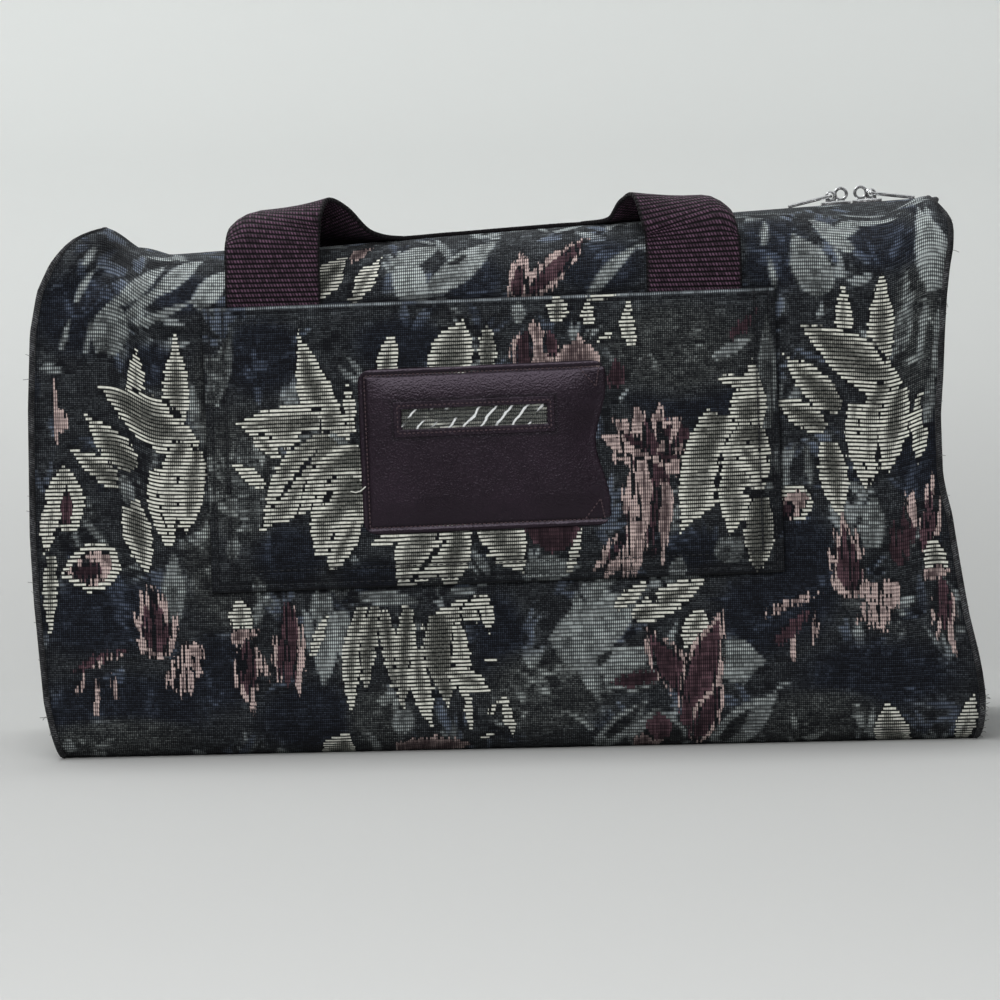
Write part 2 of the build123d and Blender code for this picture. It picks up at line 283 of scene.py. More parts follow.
def tapestryMaterial():
    material, tree, surface = newMaterial("tapestry", roughness=0.9, sheen=0.03, specular=0.08)
    place = uvPlace(tree)
    cloth = useGroup(tree, threads, Place=place)
    warp, weft, dots = cloth["Warp"], cloth["Weft"], cloth["Dots"]
    cell, run, fleck, upright = cloth["Cell"], cloth["Run"], cloth["Fleck"], cloth["Upright"]
    shade, tone, blue, seam = (attribute(tree, n) for n in ("shade", "tone", "blue", "seam"))
    mottle = noise(tree, place, 0.16, 2.0)
    # every yarn run ends a little short of, or past, its drawn edge
    ragged = scaled(tree, cell, 0.36, -0.18)
    level = plus(tree, scaled(tree, run, 1.2, -0.6), ragged)
    spiky = plus(tree, scaled(tree, upright, 2.2, -1.25), ragged)

    def inside(name, jag):
        return ramp(tree, plus(tree, attribute(tree, name), jag), -0.1, 0.1)

    # ground: dark threads with lighter picks, fine where it is dark and in rows where a leaf shows
    pale = plus(tree, tone, scaled(tree, run, 0.2, -0.1))
    pale = times(tree, pale, ramp(tree, mottle, 0.3, 0.7, 0.75, 1.15))
    bright = scaled(tree, plus(tree, cell, run), 0.42, 0.16)
    rows = times(tree, scaled(tree, weft, 0.7, 0.3), warp)
    rows = times(tree, rows, scaled(tree, bright, 0.8, 0.3))
    fine = times(tree, dots, scaled(tree, fleck, 0.7, 0.2))
    leafy = ramp(tree, pale, 0.25, 0.5)
    picks = plus(tree, times(tree, rows, times(tree, leafy, 1.35)),
                 times(tree, fine, calc(tree, "SUBTRACT", 1.0, leafy)))
    picks = times(tree, picks, calc(tree, "MAXIMUM", pale, 0.03))
    colour = mix(tree, picks, yarn["ground"], mix(tree, blue, yarn["sage"], yarn["navy"]))
    # roses and wine-red leaves: upright hatching, palest along the edges, long picks where lit
    stroke = scaled(tree, upright, 0.85, 0.35)
    upstroke = times(tree, times(tree, warp, stroke), scaled(tree, weft, 0.4, 0.6))
    for name, edgeGain, depthLoss in (("rose", 0.25, -0.3), ("wine", 0.05, -0.15)):
        glow = times(tree, shade, ramp(tree, mottle, 0.3, 0.7, 0.6, 1.25))
        glow = plus(tree, glow, scaled(tree, run, 0.4, -0.2))
        glow = plus(tree, glow, ramp(tree, attribute(tree, name), 0.3, 3.2, edgeGain, depthLoss))
        floats = times(tree, times(tree, weft, ramp(tree, glow, 0.75, 1.1)), bright)
        hatch = calc(tree, "MAXIMUM", upstroke, floats)
        hatch = times(tree, hatch, ramp(tree, glow, 0.1, 1.1, 0.16, 1.1))
        dyed = mix(tree, hatch, yarn[name + "Deep"], yarn[name])
        colour = mix(tree, inside(name, spiky), colour, dyed)
    # ivory: long picks, broken by the warp where the flower is shaded
    lit = plus(tree, shade, scaled(tree, run, 0.36, -0.18))
    lit = plus(tree, lit, ramp(tree, mottle, 0.3, 0.7, -0.15, 0.1))
    # palest at its edge
    lit = plus(tree, lit, ramp(tree, attribute(tree, "ivory"), 0.3, 4.5, 0.24, -0.42))
    whole = ramp(tree, lit, 0.4, 0.8)
    solid = calc(tree, "MAXIMUM", scaled(tree, warp, 0.8, 0.2), whole)
    pick = times(tree, times(tree, cloth["Long"], solid), ramp(tree, lit, -0.1, 0.9, 0.15, 0.95))
    pick = times(tree, pick, scaled(tree, cell, 0.25, 0.78))
    gap = mix(tree, times(tree, dots, fleck), yarn["ivoryGap"], yarn["ivoryWarp"])
    colour = mix(tree, inside("ivory", level), colour, mix(tree, pick, gap, yarn["ivory"]))
    # painted shade: the seam attribute darkens the cloth towards the ground yarn along the sewn lines, round
    # the pocket and in the dent
    colour = mix(tree, seam, colour, yarn["ground"])
    tree.links.new(colour, surface.inputs["Base Color"])
    height = plus(tree, times(tree, dots, 0.4), times(tree, weft, 0.6))
    tree.links.new(bump(tree, height, 0.0004, 0.8), surface.inputs["Normal"])
    return material


tapestry = tapestryMaterial()
print("tapestry yarns set up")


def tuft(yarnName, root, tips, breadth, rootShade, tipShade):
    # narrow tongues that spring from one point
    return [(yarnName, *root, *tip, breadth, 0, rootShade, tipShade) for tip in tips]


# the flowers: yarn, root, tip, breadth, bend, shade at root, shade at tip, in the photograph's pixels
bodyFlowers = [
    # grey streaks over the left shoulder
    ("sage", 118, 300, 165, 262, 17, 0, 0.6, 0.95), ("sage", 158, 288, 203, 253, 18, 0, 0.6, 0.9),
    ("sage", 196, 304, 227, 266, 24, 0, 0.8, 0.95), ("sage", 106, 350, 116, 292, 38, 0, 0.42, 0.5),
    ("sage", 86, 350, 92, 314, 6, 0, 0.6, 0.6), ("sage", 122, 316, 178, 272, 10, 0, 0.7, 0.85),
    ("sage", 136, 322, 196, 296, 9, 0, 0.6, 0.7), ("sage", 76, 300, 98, 262, 7, 3, 0.6, 0.7),
    ("sage", 62, 345, 70, 315, 7, 0, 0.55, 0.5),
    ("sage", 196, 420, 190, 375, 12, 0, 0.55, 0.6), ("sage", 84, 262, 96, 240, 8, 0, 0.6, 0.6),
    ("rose", 58, 440, 55, 375, 7, 0, 0.45, 0.55), ("rose", 66, 425, 62, 405, 5, 0, 0.6, 0.6),
    # lily at the left
    ("ivory", 136, 402, 136, 342, 16, 0, 0.75, 1), ("ivory", 176, 428, 175, 331, 26, 0, 0.7, 1),
    ("ivory", 194, 452, 97, 381, 44, -4, 0.85, 0.8), ("ground", 182, 420, 162, 392, 5, 0, 1, 1),
    ("ivory", 134, 464, 85, 410, 28, 0, 0.5, 1), ("ivory", 124, 484, 68, 442, 20, 0, 0.45, 0.85),
    ("ivory", 156, 466, 168, 547, 25, 0, 0.9, 1), ("ivory", 182, 440, 172, 541, 38, 0, 0.75, 0.95),
    ("ivory", 196, 446, 185, 535, 28, 0, 0.85, 1), ("ground", 178, 500, 176, 548, 4, 0, 1, 1),
    ("ivory", 130, 498, 148, 574, 28, 0, 0.65, 1),
    ("sage", 72, 508, 122, 566, 8, 4, 0.5, 0.5), ("sage", 122, 470, 128, 505, 10, 0, 0.5, 0.4),
    # buds
    ("ivory", 66, 526, 63, 458, 40, 0, 0.9, 0.85), ("wine", 67, 518, 66, 484, 11, 0, 0.9, 0.6),
    ("ivory", 54, 498, 44, 552, 19, 0, 0.85, 1), ("ground", 60, 520, 52, 548, 6, 0, 1, 1),
    ("ivory", 117, 556, 58, 570, 48, 3, 0.95, 1), ("rose", 110, 557, 66, 570, 32, 3, 0.9, 0.9),
    ("wine", 99, 564, 71, 572, 16, 0, 0.5, 0.5), ("ivory", 51, 553, 49, 634, 14, 0, 0.5, 0.9),
    # flames under the lily
    ("sage", 174, 618, 173, 545, 24, 0, 0.5, 0.6), ("wine", 74, 668, 127, 648, 9, 3, 0.9, 0.8),
    ("rose", 92, 664, 124, 650, 5, 2, 0.7, 0.7), ("rose", 96, 712, 96, 668, 5, 0, 0.6, 0.5),
    ("rose", 78, 690, 84, 672, 6, 0, 0.5, 0.4), ("rose", 116, 695, 110, 668, 6, 0, 0.4, 0.5),
    ("ivory", 243, 628, 239, 593, 24, 0, 0.9, 1), ("rose", 232, 636, 258, 628, 18, 0, 0.7, 0.7),
    ("sage", 258, 622, 258, 594, 12, 0, 0.5, 0.5),
    *tuft("rose", (163, 652), [(149, 572), (140, 588), (134, 610), (134, 636), (163, 592), (177, 612)],
          16, 0.7, 1),
    *tuft("wine", (160, 648), [(150, 586), (144, 602), (142, 624), (159, 602), (167, 620)], 10, 0.7, 0.6),
    *tuft("rose", (190, 642), [(163, 686), (172, 690), (181, 696), (191, 690), (200, 676), (204, 656)],
          15, 0.9, 1),
    *tuft("rose", (247, 640), [(234, 686), (241, 698), (252, 716), (260, 694), (267, 674)], 13, 0.7, 1),
    *tuft("wine", (247, 638), [(240, 680), (248, 696), (255, 684)], 9, 0.7, 0.6),
    *tuft("rose", (289, 604), [(268, 684), (276, 692), (299, 690), (307, 668)], 13, 0.6, 1),
    *tuft("wine", (288, 600), [(279, 676), (287, 688), (295, 678)], 10, 0.6, 0.6),
    # drooping leaves under the pocket
    ("sage", 322, 588, 320, 626, 24, 0, 0.6, 0.5), ("sage", 326, 612, 324, 686, 24, 0, 0.9, 1),
    ("sage", 340, 606, 346, 662, 22, 0, 0.85, 0.9), ("ivory", 312, 652, 328, 606, 10, 0, 0.8, 0.9),
    ("sage", 360, 592, 424, 598, 16, 0, 0.6, 0.5),
    ("ivory", 361, 604, 352, 714, 20, -5, 0.7, 0.9), ("ivory", 375, 602, 366, 694, 16, -3, 0.5, 0.6),
    ("ivory", 383, 608, 394, 692, 16, 2, 0.6, 0.6), ("ivory", 407, 604, 402, 714, 20, 0, 0.62, 0.7),
    ("sage", 405, 706, 400, 735, 24, 0, 0.5, 0.5), ("ivory", 418, 646, 433, 726, 22, -4, 0.85, 1),
    ("ivory", 424, 628, 493, 589, 22, 0, 0.55, 1), ("ivory", 462, 612, 494, 600, 24, 0, 0.9, 1),
    ("ivory", 438, 612, 448, 704, 36, 0, 0.5, 0.6), ("ivory", 458, 622, 466, 702, 18, 0, 0.95, 1),
    ("ivory", 450, 668, 491, 688, 24, 0, 0.95, 1), ("ivory", 468, 694, 471, 728, 9, 0, 1, 1),
    ("ivory", 486, 658, 497, 657, 5, 0, 1, 1), ("ivory", 482, 735, 498, 729, 6, 0, 1, 1),
    ("ivory", 490, 712, 497, 698, 6, 0, 1, 1), ("ivory", 503, 695, 515, 738, 10, 0, 0.95, 1),
    ("ivory", 483, 592, 490, 630, 14, 0, 0.9, 1), ("ivory", 332, 764, 348, 729, 34, 0, 0.85, 1),
    ("sage", 282, 762, 278, 745, 18, 0, 0.9, 0.8), ("sage", 376, 757, 366, 728, 10, -4, 0.6, 0.6),
    ("rose", 396, 746, 476, 741, 20, 0, 0.5, 0.4), ("sage", 205, 762, 192, 747, 12, 0, 0.8, 0.8),
    ("sage", 70, 750, 66, 735, 14, 0, 0.6, 0.5),
    # grey leaf and red blossom at the lower right
    ("sage", 556, 648, 645, 588, 54, 0, 0.7, 0.85), ("sage", 606, 690, 574, 586, 44, 0, 0.6, 0.85),
    ("sage", 602, 672, 652, 644, 36, 0, 0.8, 0.9), ("sage", 596, 596, 604, 572, 18, 0, 0.7, 0.6),
    ("ground", 628, 640, 636, 622, 14, 0, 1, 1), ("ground", 598, 660, 612, 648, 10, 0, 1, 1),
    ("ivory", 616, 604, 650, 576, 15, 0, 0.9, 1), ("ivory", 634, 614, 708, 573, 28, 0, 0.8, 1),
    ("ground", 655, 600, 650, 582, 8, 0, 1, 1), ("ivory", 702, 608, 684, 646, 24, 0, 0.95, 1),
    ("sage", 714, 655, 767, 658, 44, 0, 0.55, 0.7), ("rose", 688, 690, 643, 621, 36, 0, 0.7, 0.75),
    ("wine", 687, 688, 648, 629, 25, 0, 0.8, 0.75), ("rose", 690, 706, 722, 607, 40, 0, 0.75, 0.9),
    ("wine", 690, 704, 718, 617, 28, 0, 0.8, 0.8), ("rose", 694, 738, 722, 675, 28, 0, 0.75, 0.8),
    ("wine", 696, 736, 719, 685, 17, 0, 0.45, 0.5), ("wine", 684, 738, 688, 690, 14, 0, 0.7, 0.7),
    ("sage", 656, 672, 604, 680, 26, 0, 0.55, 0.6), ("wine", 654, 673, 610, 680, 16, 0, 0.4, 0.4),
    ("sage", 597, 746, 650, 695, 24, 0, 0.55, 0.5), ("ground", 606, 734, 644, 702, 11, 0, 1, 1),
    ("sage", 658, 752, 656, 703, 60, 0, 0.55, 0.6), ("ground", 664, 752, 662, 711, 44, 0, 1, 1),
    ("rose", 634, 742, 664, 738, 22, 0, 0.65, 0.5), ("wine", 661, 736, 657, 707, 25, 0, 0.75, 0.7),
    ("sage", 716, 745, 780, 688, 36, 0, 0.5, 0.6), ("ground", 722, 738, 752, 704, 12, 0, 1, 1),
    ("rose", 764, 612, 822, 589, 7, 2, 0.55, 0.6), ("rose", 792, 658, 792, 616, 5, 0, 0.6, 0.4),
    ("wine", 776, 640, 812, 606, 12, 0, 0.7, 0.7), ("rose", 812, 640, 818, 604, 6, 0, 0.4, 0.4),
    # the same lily again at the right
    ("ivory", 844, 338, 842, 279, 17, 0, 0.75, 1), ("ivory", 880, 362, 881, 267, 26, 0, 0.7, 1),
    ("ivory", 896, 390, 798, 320, 46, -4, 0.85, 0.8), ("ground", 886, 358, 868, 332, 5, 0, 1, 1),
    ("ivory", 838, 406, 783, 350, 29, 0, 0.5, 1), ("ivory", 824, 424, 773, 394, 25, 0, 0.6, 0.9),
    ("ivory", 854, 400, 866, 488, 26, 0, 0.9, 1), ("ivory", 884, 380, 871, 482, 40, 0, 0.75, 0.95),
    ("ivory", 900, 384, 885, 474, 30, 0, 0.85, 1), ("ground", 877, 440, 876, 490, 4, 0, 1, 1),
    ("ivory", 828, 438, 841, 517, 29, 0, 0.65, 1), ("ivory", 921, 390, 918, 461, 18, 0, 0.75, 1),
    ("ivory", 807, 488, 776, 516, 36, 0, 0.95, 1), ("rose", 803, 491, 778, 516, 22, 0, 0.75, 0.75),
    ("wine", 792, 502, 777, 514, 11, 0, 0.5, 0.5), ("sage", 805, 440, 812, 488, 9, 0, 0.45, 0.5),
    ("sage", 872, 545, 874, 488, 26, 0, 0.5, 0.55),
    *tuft("rose", (856, 590), [(842, 508), (833, 524), (827, 546), (829, 574), (856, 526), (878, 580)],
          16, 0.7, 1),
    *tuft("wine", (853, 586), [(843, 522), (838, 540), (836, 562), (852, 540), (860, 558)], 10, 0.7, 0.6),
    *tuft("rose", (885, 580), [(857, 622), (866, 628), (876, 636), (886, 628), (896, 612), (901, 592)],
          16, 0.9, 1),
    *tuft("wine", (902, 560), [(892, 514), (904, 500), (916, 496), (886, 534)], 12, 0.5, 0.5),
    *tuft("rose", (927, 546), [(934, 468), (926, 484), (942, 492)], 12, 0.6, 1),
    *tuft("rose", (916, 522), [(904, 490), (911, 486)], 9, 0.7, 1),
    *tuft("wine", (924, 545), [(930, 490), (936, 504)], 10, 0.7, 0.55),
    ("ivory", 938, 572, 932, 530, 22, 0, 0.7, 1), ("rose", 924, 572, 950, 566, 14, 0, 0.7, 0.7),
    *tuft("rose", (942, 578), [(930, 622), (938, 634), (955, 652), (956, 628)], 13, 0.7, 1),
    *tuft("wine", (943, 576), [(937, 616), (945, 632), (951, 620)], 9, 0.6, 0.55),
    ("ivory", 904, 746, 887, 697, 34, 5, 0.9, 1), ("ivory", 962, 740, 975, 688, 18, 0, 0.9, 1),
    # leaves and flames along the top
    ("ivory", 314, 292, 346, 252, 26, 0, 0.75, 0.85), ("ivory", 350, 296, 381, 254, 20, 0, 0.8, 1),
    ("ground", 348, 296, 356, 258, 6, 0, 1, 1), ("rose", 350, 256, 372, 240, 12, 0, 0.6, 0.5),
    ("sage", 418, 302, 398, 246, 34, 0, 0.9, 0.85), ("sage", 392, 262, 442, 242, 18, 0, 0.6, 0.6),
    ("sage", 432, 286, 498, 236, 28, 0, 0.55, 0.65), ("ground", 448, 262, 470, 250, 6, 0, 1, 1),
    ("rose", 515, 294, 523, 246, 22, 0, 0.75, 0.85), ("rose", 520, 296, 588, 234, 26, 0, 0.8, 0.75),
    ("wine", 517, 292, 520, 262, 10, 0, 0.7, 0.7), ("wine", 530, 288, 584, 238, 13, 0, 0.7, 0.7),
    ("sage", 588, 294, 642, 238, 14, 4, 0.5, 0.55), ("sage", 764, 242, 766, 214, 9, 0, 0.65, 0.6),
    ("sage", 824, 290, 792, 228, 40, 0, 0.42, 0.5), ("sage", 852, 247, 806, 211, 16, 0, 0.75, 0.7),
    ("sage", 836, 230, 866, 214, 18, 0, 0.75, 0.7), ("sage", 856, 219, 902, 212, 10, 0, 0.8, 0.8),
    ("sage", 937, 286, 918, 202, 36, -4, 0.75, 0.95), ("sage", 898, 350, 912, 282, 16, 0, 0.45, 0.55),
    ("sage", 918, 360, 926, 286, 8, 0, 0.6, 0.65), ("sage", 936, 372, 938, 296, 9, 0, 0.7, 0.75),
    ("sage", 908, 318, 904, 262, 9, 0, 0.6, 0.55), ("sage", 926, 420, 932, 366, 12, 0, 0.5, 0.5),
    ("sage", 775, 284, 768, 252, 7, 0, 0.55, 0.5),
]

pocketFlowers = [
    ("sage", 212, 402, 232, 326, 22, 0, 0.45, 0.35), ("sage", 202, 525, 203, 452, 18, 0, 0.65, 0.55),
    ("sage", 254, 524, 242, 426, 34, 0, 0.34, 0.3), ("sage", 232, 556, 236, 526, 14, 0, 0.5, 0.4),
    ("sage", 262, 590, 256, 572, 14, 0, 0.6, 0.5), ("sage", 226, 372, 200, 352, 22, 0, 0.4, 0.4),
    # grey hatching behind the window
    ("ivory", 380, 411, 470, 412, 44, 0, 0.5, 0.55), ("ivory", 430, 408, 575, 414, 44, 0, 0.75, 0.7),
    # lily beside the patch
    ("ivory", 344, 452, 298, 326, 36, 5, 0.7, 1), ("ivory", 320, 416, 234, 418, 40, 7, 0.85, 0.95),
    ("ivory", 256, 432, 281, 454, 15, 0, 0.9, 0.8), ("sage", 300, 436, 352, 438, 18, 0, 0.7, 0.6),
    ("ivory", 352, 428, 347, 376, 11, 0, 0.8, 0.9), ("ivory", 334, 436, 261, 527, 56, 0, 0.55, 1),
    ("ivory", 266, 482, 231, 458, 14, 0, 1, 1), ("ground", 318, 446, 268, 508, 5, 0, 1, 1),
    ("ivory", 362, 446, 298, 508, 44, 0, 0.7, 1), ("ivory", 356, 474, 316, 556, 54, 0, 0.75, 1),
    ("ground", 332, 486, 318, 506, 5, 0, 1, 1), ("ivory", 356, 516, 328, 571, 24, 0, 0.9, 1),
    ("ivory", 444, 516, 397, 588, 54, 0, 0.8, 1), ("ivory", 458, 512, 448, 590, 36, 0, 0.75, 1),
    ("ivory", 402, 530, 371, 541, 12, 0, 0.95, 1), ("ground", 446, 534, 406, 584, 5, 0, 1, 1),
    ("ivory", 486, 506, 524, 570, 46, 0, 0.85, 1), ("ground", 470, 530, 500, 560, 5, 0, 1, 1),
    ("ivory", 384, 376, 393, 328, 22, 0, 0.95, 1), ("ivory", 442, 378, 464, 313, 44, 0, 0.8, 1),
    ("ivory", 488, 366, 486, 317, 18, 0, 0.5, 0.6),
    # broken ivory edging at the pocket mouth
    ("ivory", 556, 317, 558, 290, 22, 0, 0.95, 1), ("ivory", 588, 322, 586, 292, 13, 0, 1, 1),
    ("ivory", 588, 294, 618, 292, 7, 0, 1, 1), ("ivory", 597, 338, 613, 326, 6, 0, 1, 1),
    ("ivory", 632, 342, 628, 296, 15, 4, 0.95, 1), ("sage", 518, 318, 518, 296, 14, 0, 0.6, 0.6),
    # roses round the patch
    ("rose", 535, 372, 533, 316, 52, 0, 0.8, 0.75), ("wine", 522, 368, 526, 322, 16, 0, 0.6, 0.6),
    ("rose", 576, 370, 578, 332, 42, 0, 0.65, 0.7), ("wine", 552, 350, 548, 326, 12, 0, 0.7, 0.6),
    ("wine", 615, 382, 617, 354, 18, 0, 0.55, 0.5), ("wine", 690, 444, 612, 440, 56, 0, 0.55, 0.6),
    *tuft("rose", (648, 450), [(600, 432), (612, 412), (634, 398), (660, 398), (682, 410)], 22, 0.6, 1),
    *tuft("wine", (652, 452), [(622, 428), (646, 412), (672, 418)], 10, 0.6, 0.5),
    *tuft("rose", (660, 462), [(604, 452), (622, 440), (664, 430), (688, 436)], 12, 0.7, 0.9),
    ("wine", 664, 470, 632, 458, 12, 0, 0.5, 0.5), ("wine", 684, 462, 656, 448, 12, 0, 0.5, 0.5),
    ("rose", 690, 456, 650, 472, 14, 0, 0.8, 0.7), ("wine", 652, 462, 640, 548, 44, 0, 0.6, 0.6),
    *tuft("rose", (642, 456), [(620, 516), (630, 540), (642, 548), (650, 530)], 17, 0.85, 0.9),
    *tuft("rose", (640, 516), [(592, 568), (602, 580), (620, 582), (634, 572)], 18, 0.8, 1),
    ("wine", 624, 530, 606, 560, 6, 0, 0.6, 0.6), ("rose", 664, 476, 662, 558, 16, 0, 0.45, 0.55),
    ("wine", 656, 484, 652, 560, 7, 0, 0.5, 0.5),
    ("wine", 556, 512, 548, 550, 56, 0, 0.55, 0.5), ("sage", 526, 566, 582, 562, 26, 0, 0.6, 0.65),
    ("ivory", 569, 567, 581, 522, 9, 0, 1, 1),
    # second lily, cut by the pocket's right edge
    ("sage", 712, 354, 756, 330, 12, 0, 0.6, 0.7), ("wine", 730, 334, 756, 306, 10, 0, 0.5, 0.5),
    ("sage", 766, 425, 766, 304, 20, 0, 0.45, 0.45), ("ivory", 744, 434, 752, 356, 36, 0, 0.75, 0.95),
    ("ivory", 756, 384, 715, 373, 14, 0, 0.9, 1), ("ivory", 718, 410, 680, 528, 54, 6, 0.8, 1),
    ("ivory", 752, 422, 728, 532, 52, 0, 0.65, 0.95), ("ground", 722, 440, 712, 512, 4, 0, 1, 1),
    ("ivory", 742, 444, 768, 478, 26, 0, 0.85, 1), ("ground", 742, 486, 778, 494, 10, 0, 1, 1),
    ("ivory", 760, 494, 757, 574, 30, 0, 0.42, 0.6), ("sage", 720, 556, 742, 530, 30, 0, 0.4, 0.4),
    ("sage", 676, 575, 680, 550, 18, 0, 0.6, 0.5),
]

# soft fields of the ground: kind, middle, half breadth, half height
bodyFields = [
    ("navy", 100, 612, 66, 40), ("navy", 120, 705, 90, 34), ("navy", 222, 668, 36, 36),
    ("navy", 80, 310, 44, 40),
    ("navy", 150, 362, 26, 22), ("navy", 806, 570, 34, 60), ("navy", 880, 672, 76, 34),
    ("navy", 920, 450, 30, 40),
    ("navy", 470, 276, 34, 22), ("navy", 600, 262, 44, 26), ("navy", 772, 250, 36, 36),
    ("navy", 884, 240, 36, 26),
    ("navy", 310, 715, 50, 34), ("navy", 500, 640, 24, 50), ("navy", 760, 612, 40, 40),
    ("navy", 180, 290, 30, 20),
    ("haze", 545, 690, 60, 40), ("haze", 225, 560, 40, 60), ("haze", 820, 715, 60, 26),
    ("haze", 120, 735, 70, 18),
    ("haze", 920, 330, 30, 60), ("haze", 700, 250, 40, 30), ("haze", 220, 400, 30, 60),
    ("haze", 380, 715, 30, 30),
]
pocketFields = [
    ("navy", 262, 352, 40, 36), ("navy", 400, 340, 44, 26), ("navy", 290, 552, 34, 30),
    ("navy", 690, 392, 56, 26),
    ("navy", 690, 545, 30, 20), ("haze", 676, 345, 70, 44), ("haze", 240, 470, 40, 60),
    ("haze", 430, 570, 30, 20),
    ("navy", 380, 572, 40, 16),
]

flowerYarns = ("ivory", "rose", "wine")
# the drawing repeats round the bag; where it starts on the back and the ends
repeat = {"along": 285.0, "backFrom": 120.0, "endFrom": 40.0}
# dark line round each kind of shape
outline = {
    "ivory": 0.4, "rose": 0.35, "wine": 0.3, "sage": 0.5, "leaf": 0.4, "blueLeaf": 0.4, "ground": 0.0,
}


# how a petal or leaf is drawn, in millimetres and shares of its size
petal = {
    "near": 3.0, "rootCut": 0.1, "swell": 0.9, "bluntRoot": 0.7, "sharpTip": 0.5, "veinHalf": 0.3,
    "veinFade": 0.5, "streaks": 2.1, "streakTurn": 4.0, "streakIn": 0.9, "streakHalf": 1.6,
}


def petalFields(s, t, flower, shift):
    yarnName, rootX, rootY, tipX, tipY, breadth, bend, rootShade, tipShade = flower
    root, tip = np.array(fromPhoto(rootX, rootY)) + shift, np.array(fromPhoto(tipX, tipY)) + shift
    length = np.linalg.norm(tip - root)
    along = (tip - root) / length
    half = breadth * photo["mmPerPixel"] / 2
    reach = half + petal["near"]
    low, high = np.minimum(root, tip) - reach, np.maximum(root, tip) + reach
    near = np.nonzero((s > low[0]) & (s < high[0]) & (t > low[1]) & (t < high[1]))
    if not near[0].size:
        return None
    over, up = s[near] - root[0], t[near] - root[1]
    place = (over * along[0] + up * along[1]) / length
    inside = np.clip(place, 0, 1)
    side = over * -along[1] + up * along[0] - bend * photo["mmPerPixel"] * np.sin(np.pi * inside)
    swelling = (petal["rootCut"] + (1 - petal["rootCut"]) * inside) ** petal["swell"]
    profile = half * np.sin(np.pi * swelling) ** (petal["bluntRoot"] + petal["sharpTip"] * inside)
    beyond = np.maximum(np.maximum(-place, place - 1), 0) * length
    outside = np.abs(side) - profile
    distance = np.where(beyond > 0, np.hypot(np.maximum(outside, 0), beyond), outside)
    vein = ridge(side, petal["veinHalf"] * half) * (1 - petal["veinFade"] * inside)
    # fine lines along the leaf
    streak = np.sin(side * petal["streaks"] + petal["streakTurn"] * inside)
    streak = streak * ridge(distance + petal["streakIn"], petal["streakHalf"])
    shade = rootShade + (tipShade - rootShade) * inside
    return near, yarnName, distance, shade, vein, streak


# levels of the ground before the flowers, of the soft fields over it and of the dark rims round shapes
ground = {
    "outside": -8.0, "shade": 0.7, "tone": 0.2, "blue": 0.5,
    "fieldTone": 0.21, "haze": 0.4, "navy": 0.65, "fieldEdge": 1.6,
    "edge": 0.8, "rimDark": 0.55, "rimSoft": 0.3, "shadow": 0.1,
    "topFrom": 165.0, "topOver": 35.0, "topGain": 0.45,  # paler towards the top
}
leafHue = {"sage": 0.15, "leaf": 0.25, "blueLeaf": 0.9}  # share of the navy yarn


def calmGround(s, t, fields, shifts, tone, blue):
    # the fields cover most of the small leaves and lie under the flowers
    size = photo["mmPerPixel"]
    for kind, column, row, wide, tall in fields:
        for shift in shifts:
            x, z = np.array(fromPhoto(column, row)) + shift
            blob = ground["fieldEdge"] - ((s - x) / (wide * size)) ** 2 - ((t - z) / (tall * size)) ** 2
            blob = np.clip(blob, 0, 1)
            blue += (float(kind == "navy") - blue) * blob
            tone += (ground["fieldTone"] - tone) * ground[kind] * blob


def paintFlowers(s, t, flowers, fields, shifts):
    layers = {name: np.full(s.shape, ground["outside"]) for name in flowerYarns}
    shade, tone, blue = (np.full(s.shape, ground[name]) for name in ("shade", "tone", "blue"))
    leaves = scatteredLeaves(s, t)
    for place, flower in enumerate(leaves + flowers):
        if place == len(leaves):
            calmGround(s, t, fields, shifts, tone, blue)
        for shift in shifts:
            found = petalFields(s, t, flower, np.array(shift))
            if found is None:
                continue
            near, yarnName, distance, flowerShade, vein, streak = found
            rim = outline[yarnName]
            cover = np.clip(0.5 - distance / ground["edge"], 0, 1)
            for name in flowerYarns:
                layers[name][near] = np.minimum(layers[name][near], distance - rim)
            dark = (rim > 0) * np.clip(1 - distance / (rim + ground["rimSoft"]), 0, 1)
            tone[near] *= 1 - ground["rimDark"] * dark
            if yarnName in flowerYarns:
                layers[yarnName][near] = np.maximum(layers[yarnName][near], -distance)
                if yarnName == "ivory":
                    flowerShade = (flowerShade - 0.4) / 0.6 - 0.4 * vein
                shade[near] += (flowerShade - shade[near]) * cover
            else:
                leafy = flowerShade * (1.15 - 0.45 * vein + 0.3 * streak)
                level = ground["shadow"] if yarnName == "ground" else leafy
                tone[near] += (level - tone[near]) * cover
                if yarnName in leafHue:
                    blue[near] += (leafHue[yarnName] - blue[near]) * cover
    tone *= 1 + ground["topGain"] * fade(t, ground["topFrom"], ground["topOver"])
    layers.update(shade=shade, tone=tone, blue=blue)
    return layers


# small sprigs of leaf and shadow that fill the ground: pixels, degrees and shares
foliage = {
    "seed": 11, "perArea": 0.0042, "length": (16, 50), "breadth": (4, 11), "fan": (12, 26), "bend": 4,
    "upright": 80, "leaning": 140, "uprightShare": 0.6, "stray": 35, "leaves": (3, 7), "level": (0.32, 0.9),
    "blueShare": 0.5, "shadowShare": 0.3, "start": 0.35, "tipGain": 1.15,
}


